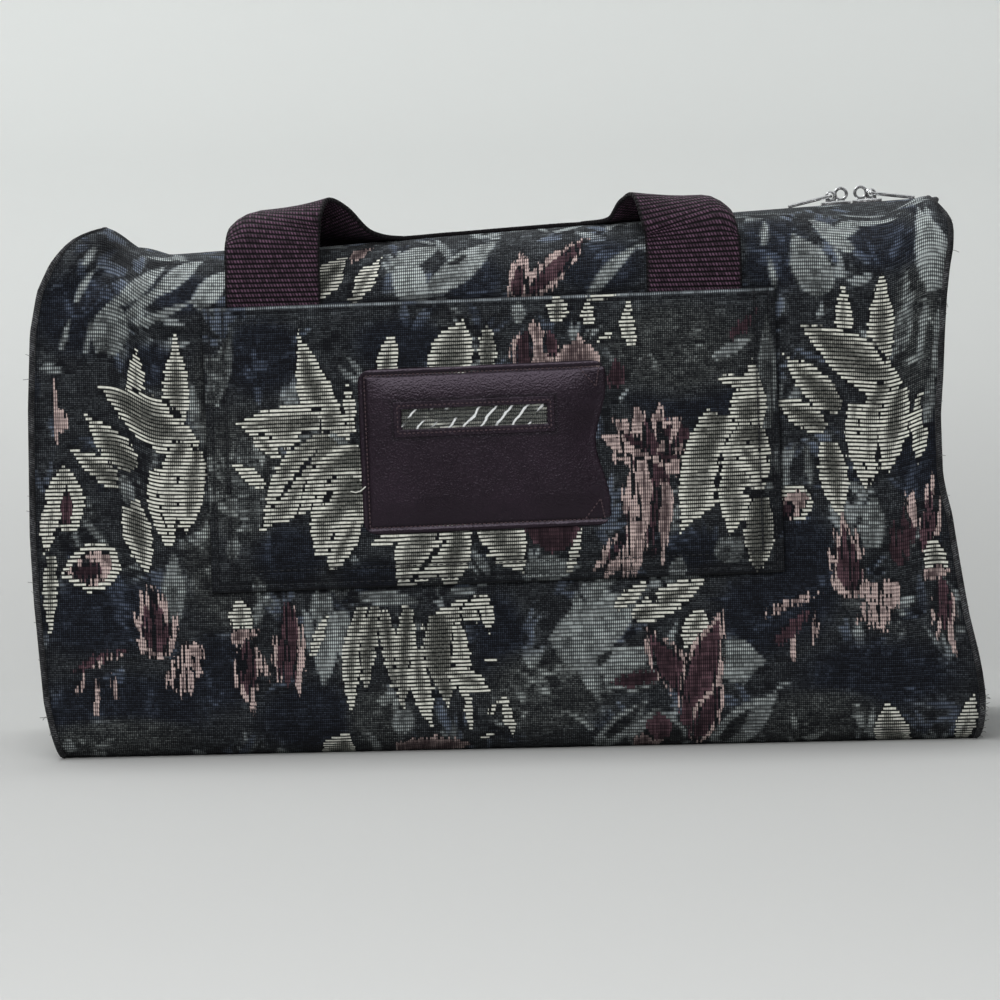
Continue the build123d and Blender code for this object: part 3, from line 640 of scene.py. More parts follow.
def scatteredLeaves(s, t):
    draw = np.random.default_rng(foliage["seed"])
    low, high = (s.min(), t.min()), (s.max(), t.max())
    count = int((high[0] - low[0]) * (high[1] - low[1]) * foliage["perArea"])
    leaves = []
    for _ in range(count):
        x, z = draw.uniform(low[0], high[0]), draw.uniform(low[1], high[1])
        column = photo["midColumn"] + x / photo["mmPerPixel"]
        row = photo["midRow"] + photo["floorRow"] - z / photo["mmPerPixel"]
        lean = "upright" if draw.random() < foliage["uprightShare"] else "leaning"
        heading = draw.normal(foliage[lean], foliage["stray"])
        fan = draw.uniform(*foliage["fan"])
        kind = "blueLeaf" if draw.random() < foliage["blueShare"] else "leaf"
        level = draw.uniform(*foliage["level"])
        number = int(draw.integers(*foliage["leaves"]))
        for k in range(number):
            turn = math.radians(heading + (k - number / 2) * fan)
            length, breadth = draw.uniform(*foliage["length"]), draw.uniform(*foliage["breadth"])
            start = draw.uniform(0, foliage["start"]) * length
            rootX, rootY = column + start * math.cos(turn), row - start * math.sin(turn)
            tipX, tipY = column + length * math.cos(turn), row - length * math.sin(turn)
            name = "ground" if draw.random() < foliage["shadowShare"] else kind
            bend = draw.uniform(-foliage["bend"], foliage["bend"])
            leaves.append((name, rootX, rootY, tipX, tipY, breadth, bend, level, level * foliage["tipGain"]))
    return leaves


# woven pieces: a grid whose rows are the picks of the weave

weave = {"pick": 1.53, "warp": 0.81}


def meshFrom(bm, name):
    mesh = bpy.data.meshes.new(name)
    bm.to_mesh(mesh)
    bm.free()
    return mesh


def clothGrid(name, across, rows):
    bm = bmesh.new()
    bmesh.ops.create_grid(bm, x_segments=across, y_segments=rows, size=1)
    mesh = meshFrom(bm, name)
    flat = np.zeros(len(mesh.vertices) * 3)
    mesh.vertices.foreach_get("co", flat)
    flat = flat.reshape(-1, 3)
    column = np.rint((flat[:, 0] + 1) / 2 * across).astype(int)
    row = np.rint((flat[:, 1] + 1) / 2 * rows).astype(int)
    return mesh, column, row


def addPiece(mesh, bodyName="bag"):
    piece = bpy.data.objects.new(mesh.name, mesh)
    bpy.context.scene.collection.objects.link(piece)
    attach(piece, bodyName)
    return piece


def thicken(piece, thick, offset):
    wall = piece.modifiers.new("thickness", "SOLIDIFY")
    wall.thickness = thick * mm
    wall.offset = offset


def finishPiece(mesh, points, material, flip=False):
    mesh.vertices.foreach_set("co", (points * mm).astype(np.float32).ravel())
    if flip:
        mesh.flip_normals()
    mesh.materials.append(material)
    mesh.shade_smooth()
    mesh.update()
    return addPiece(mesh)


def setMap(mesh, across, along):
    corner = np.zeros(len(mesh.loops), dtype=int)
    mesh.loops.foreach_get("vertex_index", corner)
    layer = mesh.uv_layers.new(name="cloth")
    values = np.stack([across[corner], along[corner]], axis=1)
    layer.uv.foreach_set("vector", values.astype(np.float32).ravel())


def weaveFlowers(mesh, column, row, s, t, flowers, fields, shifts=((0, 0),), seam=None, rim=0.0):
    # s and t: where each grid point lies on the drawing, by row and column
    setMap(mesh, s[row, column] / weave["warp"], row.astype(float))
    layers = paintFlowers((s[1:] + s[:-1]) / 2, (t[1:] + t[:-1]) / 2, flowers, fields, shifts)
    layers["seam"] = np.zeros(s.shape) if seam is None else seam  # painted shade along the sewn lines, the pocket's edges and the dent
    layers["tone"][-1] = np.maximum(layers["tone"][-1], rim)  # the last pick, along a folded edge
    corner = np.zeros(len(mesh.loops), dtype=int)
    mesh.loops.foreach_get("vertex_index", corner)
    start = np.zeros(len(mesh.polygons), dtype=int)
    total = np.zeros(len(mesh.polygons), dtype=int)
    mesh.polygons.foreach_get("loop_start", start)
    mesh.polygons.foreach_get("loop_total", total)
    faceRow = np.minimum.reduceat(row[corner], start)
    cornerRow = np.repeat(faceRow, total)
    for name, layer in layers.items():
        made = mesh.attributes.new(name, "FLOAT", "CORNER")
        made.data.foreach_set("value", layer[cornerRow, column[corner]].astype(np.float32))


# the slumped body

body = {
    "columns": 300, "backColumns": 200, "flatFrom": -182.0, "flatWidth": 362.0,
    "baseRadius": 15.0, "shoulder": 28.0, "slotHalf": 11.0, "hem": 2.2,
    "zipStart": -169.5, "zipClose": 3.0,  # the cloth closes over the left end of the zip
    "bedMid": 208.7, "bedRise": 0.0535, "bedDip": 2.5, "dipReach": 1.3,
    "drawnTop": 208.0, "drawnTurn": 1.05,  # past this turn the drawing runs on over the top
    "roundOff": 6.0, "roundFrom": 206.0, "roundOver": 12.0, "squareTo": 25.0, "squareOver": 35.0,
    "crest": [(-200, 213.4), (-159, 213.4), (-154, 212.4), (-150, 210), (-146.5, 207), (-143, 203.6),
              (-139, 201.8), (-126, 201.3), (-108, 201), (-56, 204.3), (0, 207.6), (45, 210.2), (90, 212.4),
              (125, 212.8), (136, 212), (150, 210.6), (157, 211.4), (163, 214.4), (167.5, 218), (171, 219.2),
              (175, 218.6), (180, 216), (200, 214)],
    "crestBack": [(-200, 205), (-150, 205), (-144, 203), (-138, 200.6), (-128, 200), (-108, 200),
                  (-56, 203.6), (0, 207), (45, 209.6), (90, 211.6), (125, 211.8), (160, 212),
                  (171, 213.5), (200, 214)],
    "left": [(0, -179), (3, -180.5), (11, -182.6), (23, -185), (63, -188), (90, -189), (140, -188.5),
             (171, -187), (187, -184), (199, -178.4), (204, -175), (207.5, -171.6), (210, -167.6),
             (212, -162), (214, -155)],
    "right": [(0, 186.5), (4, 188), (10, 188.8), (18, 189), (27, 188), (35, 186.6), (43, 184.8), (51, 183),
              (67, 180.5), (83, 178.1), (91, 177), (99, 175), (107, 173.6), (131, 173.2), (147, 174.5),
              (163, 175.4), (179, 176.6), (190, 178), (198, 179.6), (206, 180.2), (211, 179.8), (215, 179),
              (221, 178.8)],
}


def smoothCurve(points, value, spread=9):
    places = np.array([p[0] for p in points], float)
    levels = np.array([p[1] for p in points], float)
    fine = np.linspace(places[0], places[-1], 400)
    drawn = np.interp(fine, places, levels)
    padded = np.pad(drawn, spread, mode="edge")
    window = np.hanning(2 * spread + 1)
    drawn = np.convolve(padded, window / window.sum(), mode="valid")
    return np.interp(value, fine, drawn)


def endLine(side, height, depth):
    # where the cloth meets an end seam, by height and depth from the middle
    x = smoothCurve(body[side], height, 4)
    if side == "right":  # the shoulder there is rounded off
        high = fade(height, body["roundFrom"], body["roundOver"])
        x = x - body["roundOff"] * high**2 * fade(np.abs(depth), body["squareTo"], body["squareOver"])
    return x


def sectionPoint(x, place, crestLine="crest"):
    # place runs along one side, from 0 at the middle of the base to 1 at the zip
    # gives depth from the middle, height, where the point lies on the drawing, and the whole length
    crest = smoothCurve(body[crestLine], x)
    bed = body["bedMid"] + body["bedRise"] * x
    baseR, topR = body["baseRadius"], body["shoulder"]
    flatBase = halfDepth - baseR
    wall = crest - topR - baseR
    slot = body["slotHalf"] * fade(x, body["zipStart"], body["zipClose"])
    top = halfDepth - topR - slot
    nominal = np.array([
        flatBase, baseR * math.pi / 2, body["drawnTop"] - topR - baseR,
        topR * math.pi / 2, halfDepth - topR - body["slotHalf"], body["hem"],
    ])
    ends = np.cumsum(nominal) / nominal.sum()
    starts = np.concatenate([[0], ends[:-1]])
    share = [fade(place, a, b - a) for a, b in zip(starts, ends)]
    depth = np.where(place <= ends[0], share[0] * flatBase, halfDepth)
    height = np.zeros_like(x)
    turn = share[1] * math.pi / 2
    onBase = (place > ends[0]) & (place <= ends[1])
    depth = np.where(onBase, flatBase + baseR * np.sin(turn), depth)
    height = np.where(onBase, baseR * (1 - np.cos(turn)), height)
    onWall = (place > ends[1]) & (place <= ends[2])
    height = np.where(onWall, baseR + share[2] * wall, height)
    turn = share[3] * math.pi / 2
    onShoulder = (place > ends[2]) & (place <= ends[3])
    depth = np.where(onShoulder, halfDepth - topR * (1 - np.cos(turn)), depth)
    height = np.where(onShoulder, crest - topR * (1 - np.sin(turn)), height)
    onTop = (place > ends[3]) & (place <= ends[4])
    level = eased(share[4])
    dip = body["bedDip"] * np.sin(math.pi * np.clip(share[4] * body["dipReach"], 0, 1)) ** 2
    depth = np.where(onTop, halfDepth - topR - share[4] * top, depth)
    height = np.where(onTop, crest + (bed - crest) * level - dip, height)
    onHem = place > ends[4]
    depth = np.where(onHem, slot, depth)
    height = np.where(onHem, bed - share[5] * body["hem"], height)
    drawn = np.where(place <= ends[2], height, 0)
    late = body["drawnTurn"]
    arc = np.where(turn < late, np.sin(turn), np.sin(late) + (turn - late))
    drawn = np.where(onShoulder, crest - topR + topR * arc, drawn)
    arcEnd = crest - topR + topR * (math.sin(late) + math.pi / 2 - late)
    drawn = np.where(place > ends[3], arcEnd + share[4] * top, drawn)
    drawn = np.where(place <= ends[0], -(1 - share[0]) * flatBase, drawn)
    return depth, height, drawn, sum(nominal)


# folds of the slack cloth: from, to (x, z), how wide, how deep, in millimetres
folds = [
    ((-180, 182), (-146, 203), 6.0, 4.5), ((-172, 176), (-132, 194), 5.0, -2.4),
    ((-186, 60), (-150, 20), 9.0, 1.6), ((120, 196), (150, 208), 6.0, 1.8),
    ((150, 205), (172, 190), 5.0, 1.6), ((176, 70), (140, 40), 10.0, 1.8),
    ((165, 60), (186, 20), 6.0, -1.8), ((-60, 40), (40, 30), 14.0, 0.9),
    ((-150, 110), (-140, 60), 9.0, 1.0), ((130, 150), (168, 120), 8.0, 1.2),
]


def foldDepth(x, z):
    total = np.zeros_like(x)
    for start, end, wide, deep in folds:
        a, b = np.array(start), np.array(end)
        run = b - a
        share = np.clip(((x - a[0]) * run[0] + (z - a[1]) * run[1]) / (run @ run), 0, 1)
        gap = np.hypot(x - a[0] - share * run[0], z - a[1] - share * run[1])
        total += deep * ridge(gap, wide) * np.sin(np.pi * (0.15 + 0.7 * share))
    return total


def sway(x, z, seed):
    # slow uneven billow of the cloth
    slow = np.sin(x * 0.041 + seed) * np.cos(z * 0.052 + 1.7 * seed)
    return slow + 0.6 * np.sin(x * 0.093 + z * 0.06 + seed)


pocket = {
    "middle": (-4.4, 124.4), "size": (229.0, 114.0), "tilt": 0.9, "gap": 1.7, "puff": 4.9, "rise": 14.0,
    "columns": 250, "thick": 1.3, "lip": 12.0, "lipIn": 0.48, "seams": (2.6, 8.4), "hem": 2.6, "rim": 0.75,
}


def pocketDistance(x, z):
    # how far a point of the front lies outside the pocket's edge
    lean = math.radians(pocket["tilt"])
    over, up = x - pocket["middle"][0], z - pocket["middle"][1]
    across = over * math.cos(lean) + up * math.sin(lean)
    rise = up * math.cos(lean) - over * math.sin(lean)
    return np.maximum(np.abs(across) - pocket["size"][0] / 2, np.abs(rise) - pocket["size"][1] / 2)


# where the cloth hangs slack: how far from a seam, the floor and the top
drape = {
    "seam": 25.0, "floor": 30.0, "topFrom": 240.0, "topOver": -40.0, "frontSway": -0.5, "backSway": -1.2,
    "foldFloor": 12.0, "foldTopFrom": 232.0, "foldTopOver": -20.0,
    "stillTo": 2.0, "stillOver": 10.0, "stillFrom": 250.0,  # nothing moves at the floor or beside the zip
}
# the hollow and the dent beside the left hump
hump = {
    "hollowAt": (-150.0, 214.0), "hollowHalf": (6.0, 12.0), "hollow": 4.0,
    "dentAt": (-157.0, 203.0), "dentHalf": (9.0, 5.5), "dentLean": 0.4, "dent": 5.0,
}
# painted shadow in the sewn lines and in the dent: how dark, how wide
shadow = {"end": (0.6, 2.2), "pocket": (0.75, 1.3), "dent": 0.85}


def bodySide(name, side, columns):
    total = sectionPoint(np.zeros(1), np.zeros(1))[3]
    rows = int(round(total / weave["pick"]))
    mesh, column, row = clothGrid(name, columns, rows)
    u, v = np.meshgrid(np.linspace(0, 1, columns + 1), np.linspace(0, 1, rows + 1))
    x = body["flatFrom"] + body["flatWidth"] * u
    crestLine = "crest" if side < 0 else "crestBack"
    for _ in range(4):
        depth, height, drawn, _ = sectionPoint(x, v, crestLine)
        left, right = endLine("left", height, depth), endLine("right", height, depth)
        x = left + (right - left) * u
    depth, height, drawn, _ = sectionPoint(x, v, crestLine)
    edge = np.minimum(np.abs(x - left), np.abs(right - x))
    slack = fade(edge, 0, drape["seam"]) * fade(height, 0, drape["floor"])
    slack = slack * fade(drawn, drape["topFrom"], drape["topOver"])
    if side < 0:
        push = foldDepth(x, height) * fade(height, 0, drape["foldFloor"])
        push = push * fade(drawn, drape["foldTopFrom"], drape["foldTopOver"])
        push += drape["frontSway"] * sway(x, height, 1.0) * slack
        hollow = spot(x, drawn, hump["hollowAt"], hump["hollowHalf"])
        height = height - hump["hollow"] * hollow
        slanted = height + hump["dentLean"] * (x - hump["dentAt"][0])
        dent = spot(x, slanted, hump["dentAt"], hump["dentHalf"])
        push += hump["hollow"] * hollow + hump["dent"] * dent
    else:
        push = drape["backSway"] * sway(x, height, 2.3) * slack
    push = push * fade(height, drape["stillTo"], drape["stillOver"]) * (drawn < drape["stillFrom"])
    y = midY + side * (depth - push)
    grid = np.stack([x, y, height], axis=2)
    points = grid[row, column]
    # painted shade along the end seams, round the pocket's outline and in the dent beside the left hump
    dark, half = shadow["end"]
    seam = dark * ridge(edge, half)
    if side < 0:
        dark, half = shadow["pocket"]
        seam = np.maximum(seam, dark * ridge(np.maximum(pocketDistance(x, drawn), 0), half))
        seam = np.maximum(seam, shadow["dent"] * dent)
        weaveFlowers(mesh, column, row, x, drawn, bodyFlowers, bodyFields, seam=seam)
    else:
        shifts = [(i * repeat["along"], 0) for i in (-1, 0, 1, 2)]
        weaveFlowers(mesh, column, row, repeat["backFrom"] - x, drawn, bodyFlowers, bodyFields, shifts, seam)
    piece = finishPiece(mesh, points, tapestry, flip=side > 0)
    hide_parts("body_panel")
    return grid


frontGrid = bodySide("bodyFront", -1, body["columns"])
backGrid = bodySide("bodyBack", 1, body["backColumns"])
print("body cloth wrapped")


# end panels, a domed sheet each, filled in column by column between the base and the top

endPanel = {"columns": 110, "rows": 124, "samples": 600, "startAt": 204.0, "height": 208.0, "dome": 2.5}


def endSheet(name, node, outward):
    end = "left" if outward < 0 else "right"
    columns, rows = endPanel["columns"], endPanel["rows"]
    mesh, column, row = clothGrid(name, columns, rows)
    place = np.linspace(0, 1, endPanel["samples"])
    side = halfDepth * np.sin(np.linspace(-math.pi / 2, math.pi / 2, columns + 1))
    tops = []
    for crestLine in ("crest", "crestBack"):
        edgeX = smoothCurve(body[end], np.full(len(place), endPanel["startAt"]))
        for _ in range(4):  # settles on the body's own edge
            depth, height, _, _ = sectionPoint(edgeX, place, crestLine)
            edgeX = endLine(end, height, depth)
        low, high = height <= body["baseRadius"], height >= height.max() - body["shoulder"]
        under = np.interp(np.abs(side), depth[low], height[low])
        tops.append(np.interp(np.abs(side), depth[high][::-1], height[high][::-1]))
    over = np.where(side < 0, tops[0], tops[1])
    share = np.linspace(0, 1, rows + 1)[:, None]
    z = under + (over - under) * share
    y = np.broadcast_to(midY + side, z.shape)
    dome = (1 - (side / halfDepth) ** 2) * np.sin(math.pi * fade(z, 0, endPanel["height"]))
    x = endLine(end, z, side) + outward * endPanel["dome"] * dome
    grid = np.stack([x, y, z], axis=2)
    shifts = [(i * repeat["along"], 0) for i in (-1, 0, 1)]
    weaveFlowers(mesh, column, row, y * outward + repeat["endFrom"], z, bodyFlowers, bodyFields, shifts)
    piece = finishPiece(mesh, grid[row, column], tapestry, flip=outward < 0)
    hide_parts(node)


endSheet("leftEnd", "left_end_panel", -1)
endSheet("rightEnd", "right_end_panel", 1)


# piping of dark cloth over the end seams

def clothMaterial(name, deep, light, pitch, slant):
    material, tree, surface = newMaterial(name, roughness=0.9, sheen=0.03, specular=0.1)
    across, along, _ = axes(tree, uvPlace(tree))
    across = plus(tree, across, times(tree, along, slant))
    place = pair(tree, calc(tree, "DIVIDE", across, pitch), calc(tree, "DIVIDE", along, pitch))
    cloth = useGroup(tree, threads, Place=place)
    patches = ramp(tree, noise(tree, objectPlace(tree), 70.0, 2.0), 0.4, 0.65, 0.25, 1.0)
    thread = times(tree, cloth["Warp"], scaled(tree, cloth["Cell"], 0.7, 0.2))
    thread = times(tree, thread, patches)
    tree.links.new(mix(tree, thread, deep, light), surface.inputs["Base Color"])
    height = scaled(tree, cloth["Weft"], 0.5, cloth["Warp"])
    tree.links.new(bump(tree, height, 0.0003, 0.8), surface.inputs["Normal"])
    return material


pipingCloth = clothMaterial("pipingCloth", srgb(10, 10, 13), srgb(112, 113, 116), 0.85, 0.3)

piping = {
    "radius": 1.25, "out": 0.4, "step": 2, "sinkFrom": 196.0, "sinkOver": 8.0, "sink": 0.9,
    "dip": 2.4, "dipHalf": 12.0, "upTo": 0.985,
}


def tubeMesh(name, paths, radius, material, closed=False, sides=3):
    line = bpy.data.curves.new(name, "CURVE")
    line.dimensions = "3D"
    line.bevel_depth = radius * mm
    line.bevel_resolution = sides
    line.use_fill_caps = not closed
    for path in paths:
        spline = line.splines.new("POLY")
        spline.points.add(len(path) - 1)
        spline.points.foreach_set("co", np.column_stack([path * mm, np.ones(len(path))]).ravel())
        spline.use_cyclic_u = closed
    holder = bpy.data.objects.new(name, line)
    mesh = bpy.data.meshes.new_from_object(holder)
    bpy.data.objects.remove(holder)
    mesh.name = name
    mesh.materials.clear()
    mesh.materials.append(material)
    mesh.shade_smooth()
    return addPiece(mesh)


def seamPiping(name, node, column, outward):
    last, step = int(frontGrid.shape[0] * piping["upTo"]) - 1, piping["step"]
    path = np.concatenate([frontGrid[last::-step, column], backGrid[1:last:step, column]])
    path[:, 0] += outward * piping["out"]
    path[:, 2] -= piping["sink"] * fade(path[:, 2], piping["sinkFrom"], piping["sinkOver"])
    # lower across the zip, to leave room for a pull
    dip = piping["dip"] * ridge(path[:, 1] - midY, piping["dipHalf"])
    path[:, 2] -= dip * (path[:, 2] > piping["sinkFrom"])
    path[:, 2] = np.maximum(path[:, 2], piping["radius"])
    piece = tubeMesh(name, [path], piping["radius"], pipingCloth, closed=True)
    lengths = np.concatenate([[0], np.cumsum(np.linalg.norm(np.diff(path, axis=0), axis=1))])
    points = np.array([v.co for v in piece.data.vertices]) / mm
    nearest = np.argmin(((points[:, None, :] - path[None]) ** 2).sum(axis=2), axis=1)
    out = points - path[nearest]
    turn = np.arctan2(out[:, 0] * outward, np.hypot(out[:, 1], out[:, 2]))
    while piece.data.uv_layers:
        piece.data.uv_layers.remove(piece.data.uv_layers[0])
    setMap(piece.data, lengths[nearest], turn * piping["radius"])
    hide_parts(node)
    return path


leftCord = seamPiping("leftPiping", "left_piping", 0, -1)
rightCord = seamPiping("rightPiping", "right_piping", -1, 1)
print("ends closed and piped")


# front pocket

def pocketFace(across, up):
    # a point of the pocket, given from its middle
    wide, tall = pocket["size"]
    x, z = tilted(pocket, across, up)
    rise = eased(fade(np.minimum(wide / 2 - np.abs(across), tall / 2 + up), 0, pocket["rise"]))
    lip = fade(up, tall / 2 - pocket["lip"], pocket["lip"]) ** 2
    wave = 0.21 * np.sin(across * 0.11) + 0.15 * np.sin(up * 0.16 + across * 0.05)
    y = frontFace - pocket["gap"] + rise * (wave + pocket["lipIn"] * lip - pocket["puff"])
    return x, y, z


def pocketSheet():
    wide, tall = pocket["size"]
    columns, rows = pocket["columns"], int(round(tall / weave["pick"]))
    mesh, column, row = clothGrid("frontPocket", columns, rows)
    across = np.linspace(-wide / 2, wide / 2, columns + 1)
    across, up = np.meshgrid(across, np.linspace(-tall / 2, tall / 2, rows + 1))
    x, y, z = pocketFace(across, up)
    grid = np.stack([x, y, z], axis=2)
    inset = np.minimum(wide / 2 - np.abs(across), tall / 2 + up)
    # painted shade along the stitch lines, at the pocket's edges and under the hem
    seam = sum(0.75 * ridge(inset - line, 0.8) for line in pocket["seams"])
    seam = np.maximum(seam, 0.6 * ridge(inset, 0.9))
    seam = np.clip(np.maximum(seam, 0.5 * ridge(tall / 2 - up - pocket["hem"], 1.0)), 0, 1)
    weaveFlowers(mesh, column, row, x, z, pocketFlowers, pocketFields, seam=seam, rim=pocket["rim"])
    piece = finishPiece(mesh, grid[row, column], tapestry)
    thicken(piece, pocket["thick"], -1)
    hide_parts("front_pocket")


pocketSheet()


# name patch of grained leatherette

def leatherMaterial():
    material, tree, surface = newMaterial("leatherette", roughness=0.3, specular=0.3)
    surface.inputs["Specular Tint"].default_value = (0.96, 0.82, 1.0, 1)
    place = objectPlace(tree)
    cells = tree.nodes.new("ShaderNodeTexVoronoi")
    cells.feature = "SMOOTH_F1"
    cells.inputs["Scale"].default_value = 1500.0
    tree.links.new(place, cells.inputs["Vector"])
    grain = plus(tree, cells.outputs["Distance"], times(tree, noise(tree, place, 420.0, 3.0), 0.7))
    patches = noise(tree, place, 45.0, 3.0)
    tone = mix(tree, ramp(tree, patches, 0.3, 0.75), srgb(21, 13, 19), srgb(29, 18, 27))
    tone = mix(tree, ramp(tree, grain, 0.55, 1.0, 0.0, 0.6), tone, srgb(14, 8, 14))
    # painted shade in the sewn groove and round the window, from the groove attribute
    tone = mix(tree, times(tree, attribute(tree, "groove"), 0.85), tone, srgb(4, 3, 4))
    tree.links.new(tone, surface.inputs["Base Color"])
    tree.links.new(ramp(tree, patches, 0.2, 0.8, 0.24, 0.32), surface.inputs["Roughness"])
    tree.links.new(bump(tree, grain, 0.00018, 0.6), surface.inputs["Normal"])
    return material


leatherette = leatherMaterial()
patch = {
    "middle": (-7.9, 121.9), "half": (49.5, 33.0), "tilt": 1.2, "thick": 0.9, "columns": 190, "rows": 132,
    "corner": 5.5, "notch": 5.0, "notchHalf": 23.0, "edge": 0.45, "edgeRound": 1.2, "edgeDrop": 0.35,
    "crown": 1.15, "slope": 11.0, "openSide": 18.0, "openShare": 0.4,  # flatter towards its open side
    "seam": 2.6, "groove": 0.5, "grooveHalf": 0.55, "darkHalf": 0.6,
    "window": (-3.6, 12.4, 29.0, 4.0), "border": 3.6, "borderHalf": 0.7,
}


def patchPoint(across, up, lift=0.0):
    # on the patch, from its middle; lift is how far it stands off the pocket
    x, z = tilted(patch, across, up)
    return x, pocketFront - lift, z


def sewnGap(across, up):
    # how far a point lies inside the sewn line; the right side isn't sewn
    return np.minimum(patch["half"][0] + across, patch["half"][1] - np.abs(up)) - patch["seam"]


def patchLift(across, up):
    wide, tall = patch["half"]
    sides = (wide + across, patchRight(up) - across, tall - np.abs(up))
    least = patch["openShare"]
    swell = patch["crown"] * (least + (1 - least) * fade(across, wide, -patch["openSide"]))
    for inset in sides:
        inner = fade(inset, patch["seam"], patch["slope"])
        swell = swell * inner * (2 - inner)
    nearest = np.minimum.reduce(np.broadcast_arrays(*sides))
    rounded = np.clip(1 - nearest / patch["edgeRound"], 0, 1) ** 2
    lift = patch["edge"] - patch["edgeDrop"] * rounded + swell
    return lift - patch["groove"] * ridge(sewnGap(across, up), patch["grooveHalf"])


def patchRight(up):
    # right edge, with the hollow for a thumb
    hollow = 0.5 + 0.5 * np.cos(np.pi * np.clip(up / patch["notchHalf"], -1, 1))
    return patch["half"][0] - patch["notch"] * hollow


def patchSheet():
    columns, rows = patch["columns"], patch["rows"]
    mesh, column, row = clothGrid("namePatch", columns, rows)
    wide, tall = patch["half"]
    up = np.linspace(-tall, tall, rows + 1)[:, None]
    corner = np.clip(np.abs(up) - (tall - patch["corner"]), 0, patch["corner"])
    trim = patch["corner"] - np.sqrt(patch["corner"] ** 2 - corner**2)
    first, last = -wide + trim, patchRight(up) - trim
    across = first + (last - first) * np.linspace(0, 1, columns + 1)
    up = np.broadcast_to(up, across.shape)
    grid = np.stack(patchPoint(across, up, patchLift(across, up)), axis=2)
    middleX, middleZ, halfX, halfZ = patch["window"]
    # painted shade: the sewn groove and the line round the window are darker than the rest of the patch
    border = np.maximum(np.abs(across - middleX) - halfX, np.abs(up - middleZ) - halfZ) - patch["border"]
    dark = ridge(sewnGap(across, up), patch["darkHalf"])
    dark = np.maximum(dark, ridge(border, patch["borderHalf"]))
    groove = mesh.attributes.new("groove", "FLOAT", "POINT")
    groove.data.foreach_set("value", dark[row, column].astype(np.float32))
    bm = bmesh.new()
    bm.from_mesh(mesh)
    bm.faces.ensure_lookup_table()
    through = []
    for face in bm.faces:
        places = [v.index for v in face.verts]
        a, b = across[row[places], column[places]].mean(), up[row[places], column[places]].mean()
        if abs(a - middleX) < halfX and abs(b - middleZ) < halfZ:
            through.append(face)
    for vert in bm.verts:
        vert.co = grid[row[vert.index], column[vert.index]] * mm
    bmesh.ops.delete(bm, geom=through, context="FACES")
    bm.to_mesh(mesh)
    bm.free()
    mesh.materials.append(leatherette)
    mesh.shade_smooth()
    piece = addPiece(mesh)
    thicken(piece, patch["thick"], -1)
    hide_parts("id_patch")


patchSheet()


easing = {"merge": 0.01, "flatAngle": 2, "sharpAngle": 40, "segments": 2}


def dressedCopy(node, name, edge, material, bodyName):
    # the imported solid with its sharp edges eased
    flat, steep = math.radians(easing["flatAngle"]), math.radians(easing["sharpAngle"])
    bm = bmesh.new()
    bm.from_mesh(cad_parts[node].data)
    bmesh.ops.remove_doubles(bm, verts=bm.verts, dist=easing["merge"] * mm)
    bmesh.ops.dissolve_limit(bm, angle_limit=flat, verts=bm.verts, edges=bm.edges)
    sharp = [e for e in bm.edges if len(e.link_faces) == 2 and e.calc_face_angle() > steep]
    bmesh.ops.bevel(bm, geom=sharp, offset=edge * mm, segments=easing["segments"], profile=0.5,
                    affect="EDGES", material=-1)
    mesh = meshFrom(bm, name)
    mesh.materials.clear()
    mesh.materials.append(material)
    piece = addPiece(mesh, bodyName)
    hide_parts(node)


def refinish(material, *nodes):
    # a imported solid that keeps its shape
    for node in nodes:
        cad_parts[node].data.materials.clear()
        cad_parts[node].data.materials.append(material)


dressedCopy("window_binding", "windowBinding", 0.25, leatherette, "bag")


def filmMaterial():
    material, tree, surface = newMaterial("clearFilm", roughness=0.12, specular=0.6)
    x, _, z = axes(tree, objectPlace(tree))
    # creases that lean across the film, with painted highlights along them
    across = times(tree, scaled(tree, z, -0.75, x), 1000.0)
    bend = noise(tree, pair(tree, times(tree, x, 160.0), times(tree, z, 220.0)), 1.0, 2.0)
    wave = calc(tree, "SINE", scaled(tree, bend, 3.5, across))
    kept = noise(tree, pair(tree, times(tree, across, 0.09), times(tree, z, 130.0)), 1.0)
    shine = times(tree, ramp(tree, wave, 0.74, 0.95), ramp(tree, kept, 0.4, 0.5))
    tint = mix(tree, shine, srgb(120, 124, 124), srgb(240, 242, 242))
    tree.links.new(tint, surface.inputs["Base Color"])
    tree.links.new(scaled(tree, shine, 0.88, 0.06), surface.inputs["Alpha"])
    tree.links.new(bump(tree, wave, 0.0003, 0.4), surface.inputs["Normal"])
    return material


refinish(filmMaterial(), "id_window")
print("pocket and patch sewn on")


# webbing handles

handle = {
    "width": 38.0, "thick": 1.8, "acrossSteps": 12, "step": 1.6, "ribPitch": 1.93, "strandPitch": 1.25,
    "curlFrom": 203.0, "curlOver": 8.0, "curl": 5.5, "flatHalf": 9.5, "softEdge": 0.5,
}


